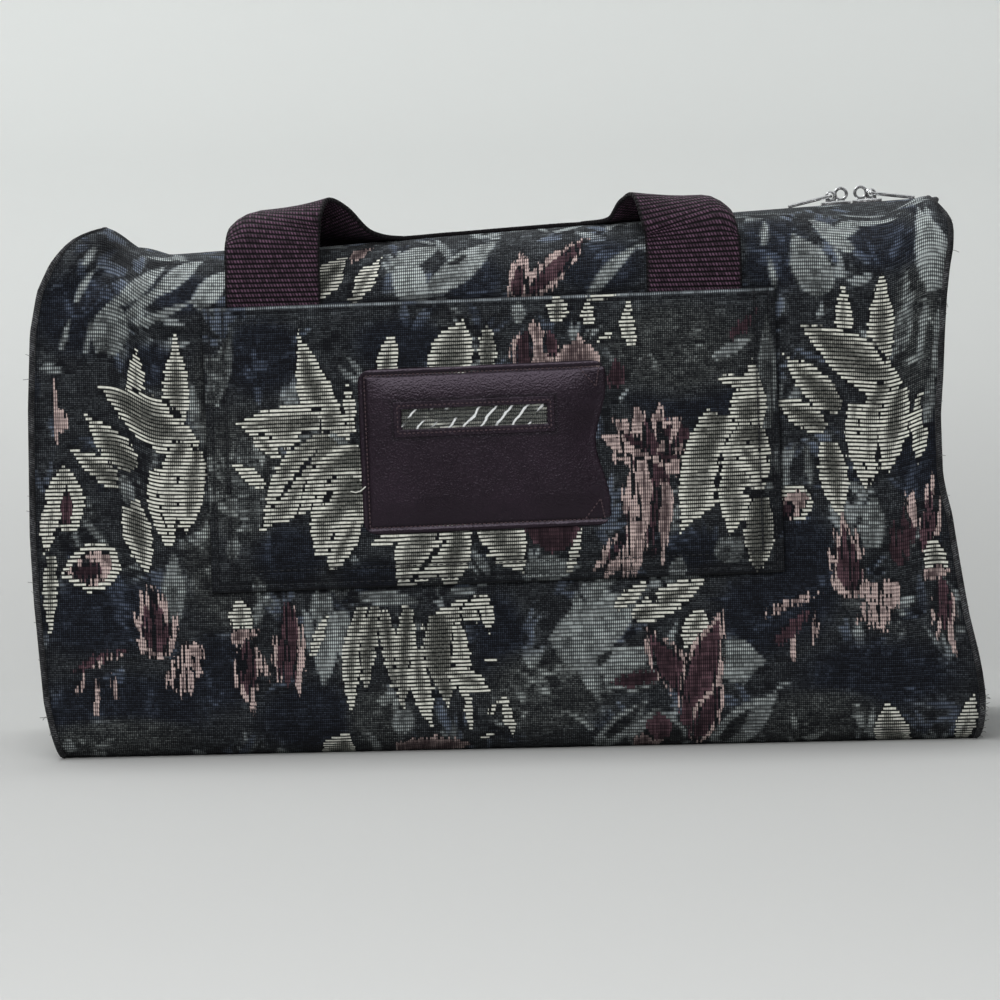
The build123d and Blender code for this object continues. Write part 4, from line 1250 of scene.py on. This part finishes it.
def webbingMaterial():
    material, tree, surface = newMaterial("webbing", roughness=0.6, sheen=0.02, specular=0.1)
    across, along, _ = axes(tree, uvPlace(tree))
    rib = calc(tree, "DIVIDE", along, handle["ribPitch"])
    raised = ramp(tree, fromMiddle(tree, rib), 0.14, 0.42, 1.0, 0.0)
    lean = times(tree, calc(tree, "FRACT", rib), 0.6)
    offset = times(tree, calc(tree, "FLOOR", rib), 0.5)
    strand = calc(tree, "DIVIDE", across, handle["strandPitch"])
    strand = plus(tree, strand, plus(tree, lean, offset))
    bead = ramp(tree, fromMiddle(tree, strand), 0.1, 0.42, 1.0, 0.12)
    paintedGlint = scatter(tree, pair(tree, calc(tree, "FLOOR", strand), calc(tree, "FLOOR", rib)))
    # painted light: the raised beads are drawn lit, each with a painted glint at random, and the gaps between
    # them in painted shade
    lit = times(tree, times(tree, raised, bead), scaled(tree, paintedGlint, 0.7, 0.3))
    tone = mix(tree, lit, srgb(4, 2, 4), srgb(104, 76, 96))
    half = handle["width"] / 2
    selvedge = ramp(tree, calc(tree, "ABSOLUTE", across), half - 1.6, half - 0.4)
    tone = mix(tree, selvedge, tone, srgb(16, 13, 16))
    tree.links.new(tone, surface.inputs["Base Color"])
    height = scaled(tree, raised, 0.7, times(tree, bead, 0.4))
    tree.links.new(bump(tree, height, 0.0006, 0.8), surface.inputs["Normal"])
    return material


webbing = webbingMaterial()


def splineThrough(keys, step):
    # even steps along a smooth line through the keys
    keys = np.array(keys, float)
    ends = np.vstack([2 * keys[0] - keys[1], keys, 2 * keys[-1] - keys[-2]])
    fine = []
    for i in range(1, len(ends) - 2):
        a, b, c, d = ends[i - 1], ends[i], ends[i + 1], ends[i + 2]
        t = np.linspace(0, 1, 40, endpoint=False)[:, None]
        square, cube = (2 * a - 5 * b + 4 * c - d) * t**2, (3 * b - a - 3 * c + d) * t**3
        fine.append(0.5 * (2 * b + (c - a) * t + square + cube))
    fine = np.vstack(fine + [keys[-1:]])
    run = np.concatenate([[0], np.cumsum(np.linalg.norm(np.diff(fine[:, :3], axis=0), axis=1))])
    even = np.linspace(0, run[-1], int(run[-1] / step) + 1)
    return np.stack([np.interp(even, run, fine[:, k]) for k in range(keys.shape[1])], axis=1), even


def handleStrap(name, node, keys):
    # each key: middle of the band, then the direction of its width
    line, even = splineThrough(keys, handle["step"])
    middle, wide = line[:, :3], line[:, 3:]
    along = np.gradient(middle, axis=0)
    along /= np.linalg.norm(along, axis=1)[:, None]
    wide = wide - (wide * along).sum(axis=1)[:, None] * along
    wide /= np.linalg.norm(wide, axis=1)[:, None]
    columns, rows = handle["acrossSteps"], len(middle) - 1
    mesh, column, row = clothGrid(name, columns, rows)
    across = (column / columns - 0.5) * handle["width"]
    points = middle[row] + wide[row] * across[:, None]
    # the outer edge rolls down where the band turns over the top
    rolled = np.clip(-across / handle["flatHalf"] - 1, 0, 1) ** 2
    rolled = rolled * fade(points[:, 2], handle["curlFrom"], handle["curlOver"])
    points[:, 2] -= handle["curl"] * rolled
    setMap(mesh, across, even[row])
    piece = finishPiece(mesh, points, webbing)
    thicken(piece, handle["thick"], 0)
    soft = piece.modifiers.new("softEdge", "BEVEL")
    soft.width = handle["softEdge"] * mm
    soft.segments = 2
    soft.limit_method = "ANGLE"
    soft.angle_limit = math.radians(60)
    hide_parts(node)


leftLeg, rightLeg = -91.1, 77.1
frontKeys = [
    (leftLeg, -113.6, 112, 1, 0, 0), (leftLeg, -113.6, 150, 1, 0, 0), (leftLeg, -113.4, 190, 1, 0, 0),
    (leftLeg + 0.3, -112.4, 206.5, 1, -0.02, 0.03), (-89, -107.5, 215.6, 0.98, -0.1, 0.11),
    (-84, -98, 218.5, 0.92, -0.32, 0.12), (-74, -88, 213.6, 0.7, -0.62, 0.24),
    (-61, -79, 206.8, 0.4, -0.88, 0.12), (-46, -70, 205.2, 0.15, -0.98, 0.04),
    (-22, -62, 207, 0, -1, 0), (0, -60, 208.4, 0, -1, 0),
    (24, -62, 209.8, 0, -1, 0), (41, -66, 210.4, -0.2, -0.97, 0), (57.5, -79, 211.6, -0.75, -0.65, 0.02),
    (66, -91, 217.4, -0.97, -0.22, 0.04), (71.5, -102, 219.8, -0.99, -0.06, 0.04),
    (rightLeg - 2.2, -110.6, 214, -1, -0.02, 0.03),
    (rightLeg, -113.2, 200, -1, 0, 0), (rightLeg, -113.6, 150, -1, 0, 0), (rightLeg, -113.6, 112, -1, 0, 0),
]
rearKeys = [
    (leftLeg, 81.7, 112, 1, 0, 0), (leftLeg, 81.7, 160, 1, 0, 0), (leftLeg, 82.2, 182, 1, 0, 0),
    (leftLeg, 87, 191, 1, 0, 0), (leftLeg, 92.2, 182, 1, 0, 0), (leftLeg + 1, 93, 160, 1, 0.1, 0),
    (-82, 95, 138, 0.8, 0.5, 0), (-62, 99, 118, 0.45, 0.9, 0), (-36, 101, 107, 0.1, 1, 0),
    (-7, 101.5, 104, 0, 1, 0), (22, 101, 107, -0.1, 1, 0),
    (48, 99, 118, -0.45, 0.9, 0), (68, 95, 138, -0.8, 0.5, 0),
    (rightLeg - 1, 93, 160, -1, 0.1, 0), (rightLeg, 92.2, 182, -1, 0, 0), (rightLeg, 87, 191, -1, 0, 0),
    (rightLeg, 82.2, 182, -1, 0, 0), (rightLeg, 81.7, 160, -1, 0, 0), (rightLeg, 81.7, 112, -1, 0, 0),
]
handleStrap("frontHandle", "front_handle", frontKeys)
handleStrap("rearHandle", "rear_handle", rearKeys)
print("handles laid")


# zip

def toothMaterial():
    material, tree, surface = newMaterial("nylonTeeth", roughness=0.4, specular=0.5)
    shade = noise(tree, objectPlace(tree), 300.0, 2.0)
    tree.links.new(mix(tree, shade, srgb(26, 20, 26), srgb(56, 46, 54)), surface.inputs["Base Color"])
    return material


def silverMaterial():
    material, tree, surface = newMaterial("silverPlate", roughness=0.14, metallic=1.0)
    marks = noise(tree, objectPlace(tree), 700.0, 4.0, 0.7)
    # painted reflection: the plate's base colour turns dark where its surface turns away from the view
    edge = tree.nodes.new("ShaderNodeLayerWeight").outputs["Facing"]
    plate = mix(tree, marks, srgb(196, 197, 199), srgb(232, 233, 234))
    plate = mix(tree, ramp(tree, edge, 0.3, 0.75), plate, srgb(38, 38, 40))
    tree.links.new(plate, surface.inputs["Base Color"])
    tree.links.new(ramp(tree, marks, 0.3, 0.75, 0.08, 0.28), surface.inputs["Roughness"])
    return material


def tapeMaterial():
    material, tree, surface = newMaterial("zipTape", roughness=0.85, sheen=0.1, specular=0.25)
    x, y, _ = axes(tree, objectPlace(tree))
    perMetre = 1400.0  # threads of the tape
    across = times(tree, plus(tree, x, y), perMetre)
    cloth = useGroup(tree, threads, Place=pair(tree, across, times(tree, y, perMetre)))
    thread = times(tree, cloth["Warp"], scaled(tree, cloth["Cell"], 0.5, 0.5))
    tree.links.new(mix(tree, thread, srgb(20, 15, 20), srgb(58, 46, 56)), surface.inputs["Base Color"])
    tree.links.new(bump(tree, thread, 0.0002, 0.7), surface.inputs["Normal"])
    return material


refinish(tapeMaterial(), "zip_tape_front", "zip_tape_back")
refinish(toothMaterial(), "zip_teeth_front", "zip_teeth_back")
silver = silverMaterial()
dressedCopy("slider_left", "sliderLeft", 0.25, silver, "left_runner")
dressedCopy("slider_right", "sliderRight", 0.25, silver, "right_runner")
dressedCopy("pull_left", "pullLeft", 0.3, silver, "left_tab")
dressedCopy("pull_right", "pullRight", 0.3, silver, "right_tab")
print("zip finished")


# sewing

def threadMaterial(name, deep, light):
    material, tree, surface = newMaterial(name, roughness=0.75, specular=0.3)
    shade = noise(tree, objectPlace(tree), 900.0, 2.0)
    tree.links.new(mix(tree, shade, deep, light), surface.inputs["Base Color"])
    return material


plumThread = threadMaterial("plumThread", srgb(36, 27, 31), srgb(92, 74, 80))
darkThread = threadMaterial("darkThread", srgb(18, 19, 22), srgb(50, 52, 56))


def stitchRun(bm, start, end, pitch, length, radius):
    # one row of stitches lying on a front face, from point to point
    start, end = Vector(start), Vector(end)
    run = end - start
    count = max(1, int(round(run.length / pitch)))
    turn = run.to_track_quat("X", "Y").to_matrix().to_4x4()
    stretch = Matrix.Diagonal((length / 2, radius, radius, 1))
    for i in range(count):
        place = Matrix.Translation(start + run * ((i + 0.5) / count))
        matrix = Matrix.Scale(mm, 4) @ place @ turn @ stretch
        bmesh.ops.create_icosphere(bm, subdivisions=1, radius=1, matrix=matrix)


def stitchPiece(name, runs, material, stitch):
    bm = bmesh.new()
    for start, end in runs:
        stitchRun(bm, start, end, *stitch)
    mesh = meshFrom(bm, name)
    mesh.materials.append(material)
    mesh.shade_smooth()
    addPiece(mesh)


def seamRow(first, second, steps, onto):
    # short straight runs that follow the cloth
    points = [onto(*place) for place in np.linspace(first, second, steps + 1)]
    return list(zip(points[:-1], points[1:]))


# a stitch is given by its pitch, length and radius; lift is how far its middle stands off the cloth
patchSewing = {
    "stitch": (1.8, 1.45, 0.34), "lift": 0.22, "steps": 6, "rowIn": 1.0, "tack": 8.0, "tackIn": 1.5,
}


def onPatch(across, up):
    lift = float(patchLift(np.array(across), np.array(up)))
    return patchPoint(across, up, lift + patchSewing["lift"])


def patchRows():
    # three sides, and a slanting tack at either end of the open one
    right, high = (half - patch["seam"] for half in patch["half"])
    start, tack = right - patchSewing["rowIn"], patchSewing["tack"]
    corners = [(start, high), (-right, high), (-right, -high), (start, -high)]
    lines = list(zip(corners, corners[1:]))
    for sign in (1, -1):
        foot = (right - patchSewing["tackIn"], sign * (high - tack))
        lines += [((right, sign * high), foot), ((right - tack, sign * high), foot)]
    return [run for line in lines for run in seamRow(*line, patchSewing["steps"], onPatch)]


stitchPiece("patchStitches", patchRows(), plumThread, patchSewing["stitch"])

windowSewing = {"stitch": (1.8, 1.4, 0.34), "lift": 2.2, "half": (30.6, 5.5)}


def windowRows():
    x, z = patch["window"][:2]
    wide, tall = windowSewing["half"]
    corners = [patchPoint(x + a * wide, z + b * tall, windowSewing["lift"])
               for a, b in ((-1, 1), (1, 1), (1, -1), (-1, -1))]
    return list(zip(corners, corners[1:] + corners[:1]))


stitchPiece("windowStitches", windowRows(), plumThread, windowSewing["stitch"])

pocketSewing = {
    "stitch": (2.8, 2.1, 0.24), "lift": 0.12, "sideSteps": 10, "rowSteps": 16, "top": 1.0, "hem": 6.5,
}


def onPocket(across, up):
    x, y, z = pocketFace(across, up)
    return (float(x), float(y) - pocketSewing["lift"], float(z))


def pocketRows():
    # two rows round the three sewn sides, and one under the mouth
    wide, tall = pocket["size"][0] / 2, pocket["size"][1] / 2
    rows = []
    for inset in pocket["seams"]:
        side, foot = wide - inset, -tall + inset
        for place in (side, -side):
            start = (place, tall - pocketSewing["top"])
            rows += seamRow(start, (place, foot), pocketSewing["sideSteps"], onPocket)
        rows += seamRow((-side, foot), (side, foot), pocketSewing["rowSteps"], onPocket)
    hem = tall - pocketSewing["hem"]
    return rows + seamRow((-wide, hem), (wide, hem), pocketSewing["rowSteps"], onPocket)


stitchPiece("pocketStitches", pocketRows(), darkThread, pocketSewing["stitch"])


# loose ends along the cords: which end of the bag, from and to what height, how many
frays = {
    "radius": 0.12, "length": (0.8, 2.4), "seed": 23, "steps": 5, "floor": 0.3, "frontShare": 0.6,
    "runs": [("right", 0, 26, 70), ("right", 26, 212, 30), ("left", 0, 30, 20), ("left", 30, 205, 20)],
}


def hairs(cord, outward, low, high, count, draw):
    front = cord[:, 1] < midY - frays["frontShare"] * halfDepth
    near = cord[(cord[:, 2] > low) & (cord[:, 2] < high) & front]
    share = np.linspace(0, 1, frays["steps"])[:, None]
    paths = []
    for _ in range(count):
        root = near[draw.integers(len(near))] + draw.normal(0, 0.5, 3)
        heading = np.array([outward, draw.normal(-0.3, 0.5), draw.normal(-0.1, 0.6)])
        bend = draw.normal(0, 0.35, 3)
        length = draw.uniform(*frays["length"])
        path = root + length * share * (heading / np.linalg.norm(heading) + bend * share)
        path[:, 2] = np.maximum(path[:, 2], frays["floor"])
        paths.append(path)
    return paths


cords = {"left": (leftCord, -1), "right": (rightCord, 1)}
draw = np.random.default_rng(frays["seed"])
loose = []
for end, low, high, count in frays["runs"]:
    loose += hairs(*cords[end], low, high, count, draw)
hairThread = threadMaterial("hairThread", srgb(28, 29, 32), srgb(150, 151, 148))
tubeMesh("looseHairs", loose, frays["radius"], hairThread, sides=0)

# one ivory thread that hangs at the patch: pixels, and how far it stands off the pocket
strayThread = {"radius": 0.28, "path": [(351, 487, 0.4), (356, 488, 1.0), (361, 486.5, 1.8), (366, 482, 2.2)]}
ivoryThread = threadMaterial("ivoryThread", srgb(196, 196, 188), srgb(226, 226, 218))
hanging = []
for pixelColumn, pixelRow, lift in strayThread["path"]:
    x, z = fromPhoto(pixelColumn, pixelRow)
    hanging.append((x, pocketFront - lift, z))
tubeMesh("strayThread", [np.array(hanging)], strayThread["radius"], ivoryThread, sides=1)
print("sewing done")


# floor, light and camera

room = {
    "halfWidth": 3.0, "front": -2.2, "back": 0.55, "wallBack": 0.56, "wallTop": 2.2,
    "bend": 0.25, "bendSteps": 24,
    "wall": srgb(235, 238, 236), "floorTint": srgb(184, 185, 184), "tintTo": 0.3,
}


def backdrop():
    bm = bmesh.new()
    bmesh.ops.create_grid(bm, x_segments=1, y_segments=1, size=1)
    for vert in bm.verts:
        vert.co = Vector((vert.co.x * room["halfWidth"], room["front"] if vert.co.y < 0 else room["back"], 0))
    back = [e for e in bm.edges if all(v.co.y > 0 for v in e.verts)]
    for made in bmesh.ops.extrude_edge_only(bm, edges=back)["geom"]:
        if isinstance(made, bmesh.types.BMVert):
            made.co = Vector((made.co.x, room["wallBack"], room["wallTop"]))
    corner = [e for e in bm.edges if all(v.co.y > 0 and v.co.z == 0 for v in e.verts)]
    bmesh.ops.bevel(bm, geom=corner, offset=room["bend"], segments=room["bendSteps"], profile=0.5,
                    affect="EDGES", material=-1)
    bmesh.ops.recalc_face_normals(bm, faces=bm.faces)
    if min(bm.faces, key=lambda face: face.calc_center_median().y).normal.z < 0:
        bmesh.ops.reverse_faces(bm, faces=bm.faces)
    mesh = meshFrom(bm, "backdrop")
    mesh.shade_smooth()
    floor = bpy.data.objects.new("backdrop", mesh)
    bpy.context.scene.collection.objects.link(floor)
    material, tree, surface = newMaterial("paleFloor", roughness=0.85, specular=0.15)
    height = axes(tree, objectPlace(tree))[2]
    tint = mix(tree, ramp(tree, height, 0.0, room["tintTo"]), room["floorTint"], room["wall"])
    tree.links.new(tint, surface.inputs["Base Color"])
    # seen from behind, the backdrop is clear
    clear, blend = tree.nodes.new("ShaderNodeBsdfTransparent"), tree.nodes.new("ShaderNodeMixShader")
    tree.links.new(tree.nodes.new("ShaderNodeNewGeometry").outputs["Backfacing"], blend.inputs[0])
    tree.links.new(surface.outputs[0], blend.inputs[1])
    tree.links.new(clear.outputs[0], blend.inputs[2])
    tree.links.new(blend.outputs[0], tree.nodes["Material Output"].inputs["Surface"])
    mesh.materials.append(material)


light = {
    "sky": 0.26, "skyTint": (0.98, 0.99, 1.0, 1), "darkBelow": 0.05, "brightAbove": 0.6,
    "dark": 0.08, "bright": 1.0,
    # lamps: name, place, aim, size in metres, watts
    "lamps": [
        ("overhead", (-0.3, 0.22, 1.5), (0, 0, 0.1), (1.6, 0.5), 20.0),
        ("frontFill", (-0.25, -1.65, 0.92), (0, 0, 0.12), (1.4, 0.9), 18.0),
    ],
}


def softLight(scene):
    world = bpy.data.worlds.new("softRoom")
    world.use_nodes = True
    sky = world.node_tree
    sky.nodes["Background"].inputs[0].default_value = light["skyTint"]
    # mirrored in metal and leather, the room is bright above and dark at eye level
    height = axes(sky, sky.nodes.new("ShaderNodeTexCoord").outputs["Generated"])[2]
    mirrored = ramp(sky, height, light["darkBelow"], light["brightAbove"], light["dark"], light["bright"])
    glossy = sky.nodes.new("ShaderNodeLightPath").outputs["Is Glossy Ray"]
    level = scaled(sky, glossy, calc(sky, "SUBTRACT", mirrored, light["sky"]), light["sky"])
    sky.links.new(level, sky.nodes["Background"].inputs[1])
    scene.world = world
    for name, place, aim, size, power in light["lamps"]:
        lamp = bpy.data.lights.new(name, "AREA")
        lamp.energy = power
        lamp.shape = "RECTANGLE"
        lamp.size, lamp.size_y = size
        holder = bpy.data.objects.new(name, lamp)
        holder.location = place
        holder.rotation_euler = (Vector(aim) - Vector(place)).to_track_quat("-Z", "Y").to_euler()
        scene.collection.objects.link(holder)


# millimetres and degrees; the lens reaches a frame this wide at the front of the bag
view = {
    "elevation": 2.2, "distance": 2600.0, "target": (-2.2, 100.5), "roll": 1.25,
    "sensor": 36.0, "frameWidth": 400.0, "clipEnd": 20.0,
}


def photoView(scene):
    camera = bpy.data.cameras.new("photoView")
    camera.sensor_width = view["sensor"]
    camera.lens = view["sensor"] * view["distance"] / view["frameWidth"]
    camera.clip_end = view["clipEnd"]
    holder = bpy.data.objects.new("photoView", camera)
    rise = math.radians(view["elevation"])
    target = Vector((view["target"][0], frontFace, view["target"][1])) * mm
    back = Vector((0, -math.cos(rise), math.sin(rise)))
    holder.location = target + back * view["distance"] * mm
    aim = (-back).to_track_quat("-Z", "Y").to_matrix().to_4x4()
    holder.rotation_euler = (aim @ Matrix.Rotation(math.radians(-view["roll"]), 4, "Z")).to_euler()
    scene.collection.objects.link(holder)
    scene.camera = holder


backdrop()
bpy.context.scene.view_settings.view_transform = "Standard"
softLight(bpy.context.scene)
photoView(bpy.context.scene)
print("studio ready")
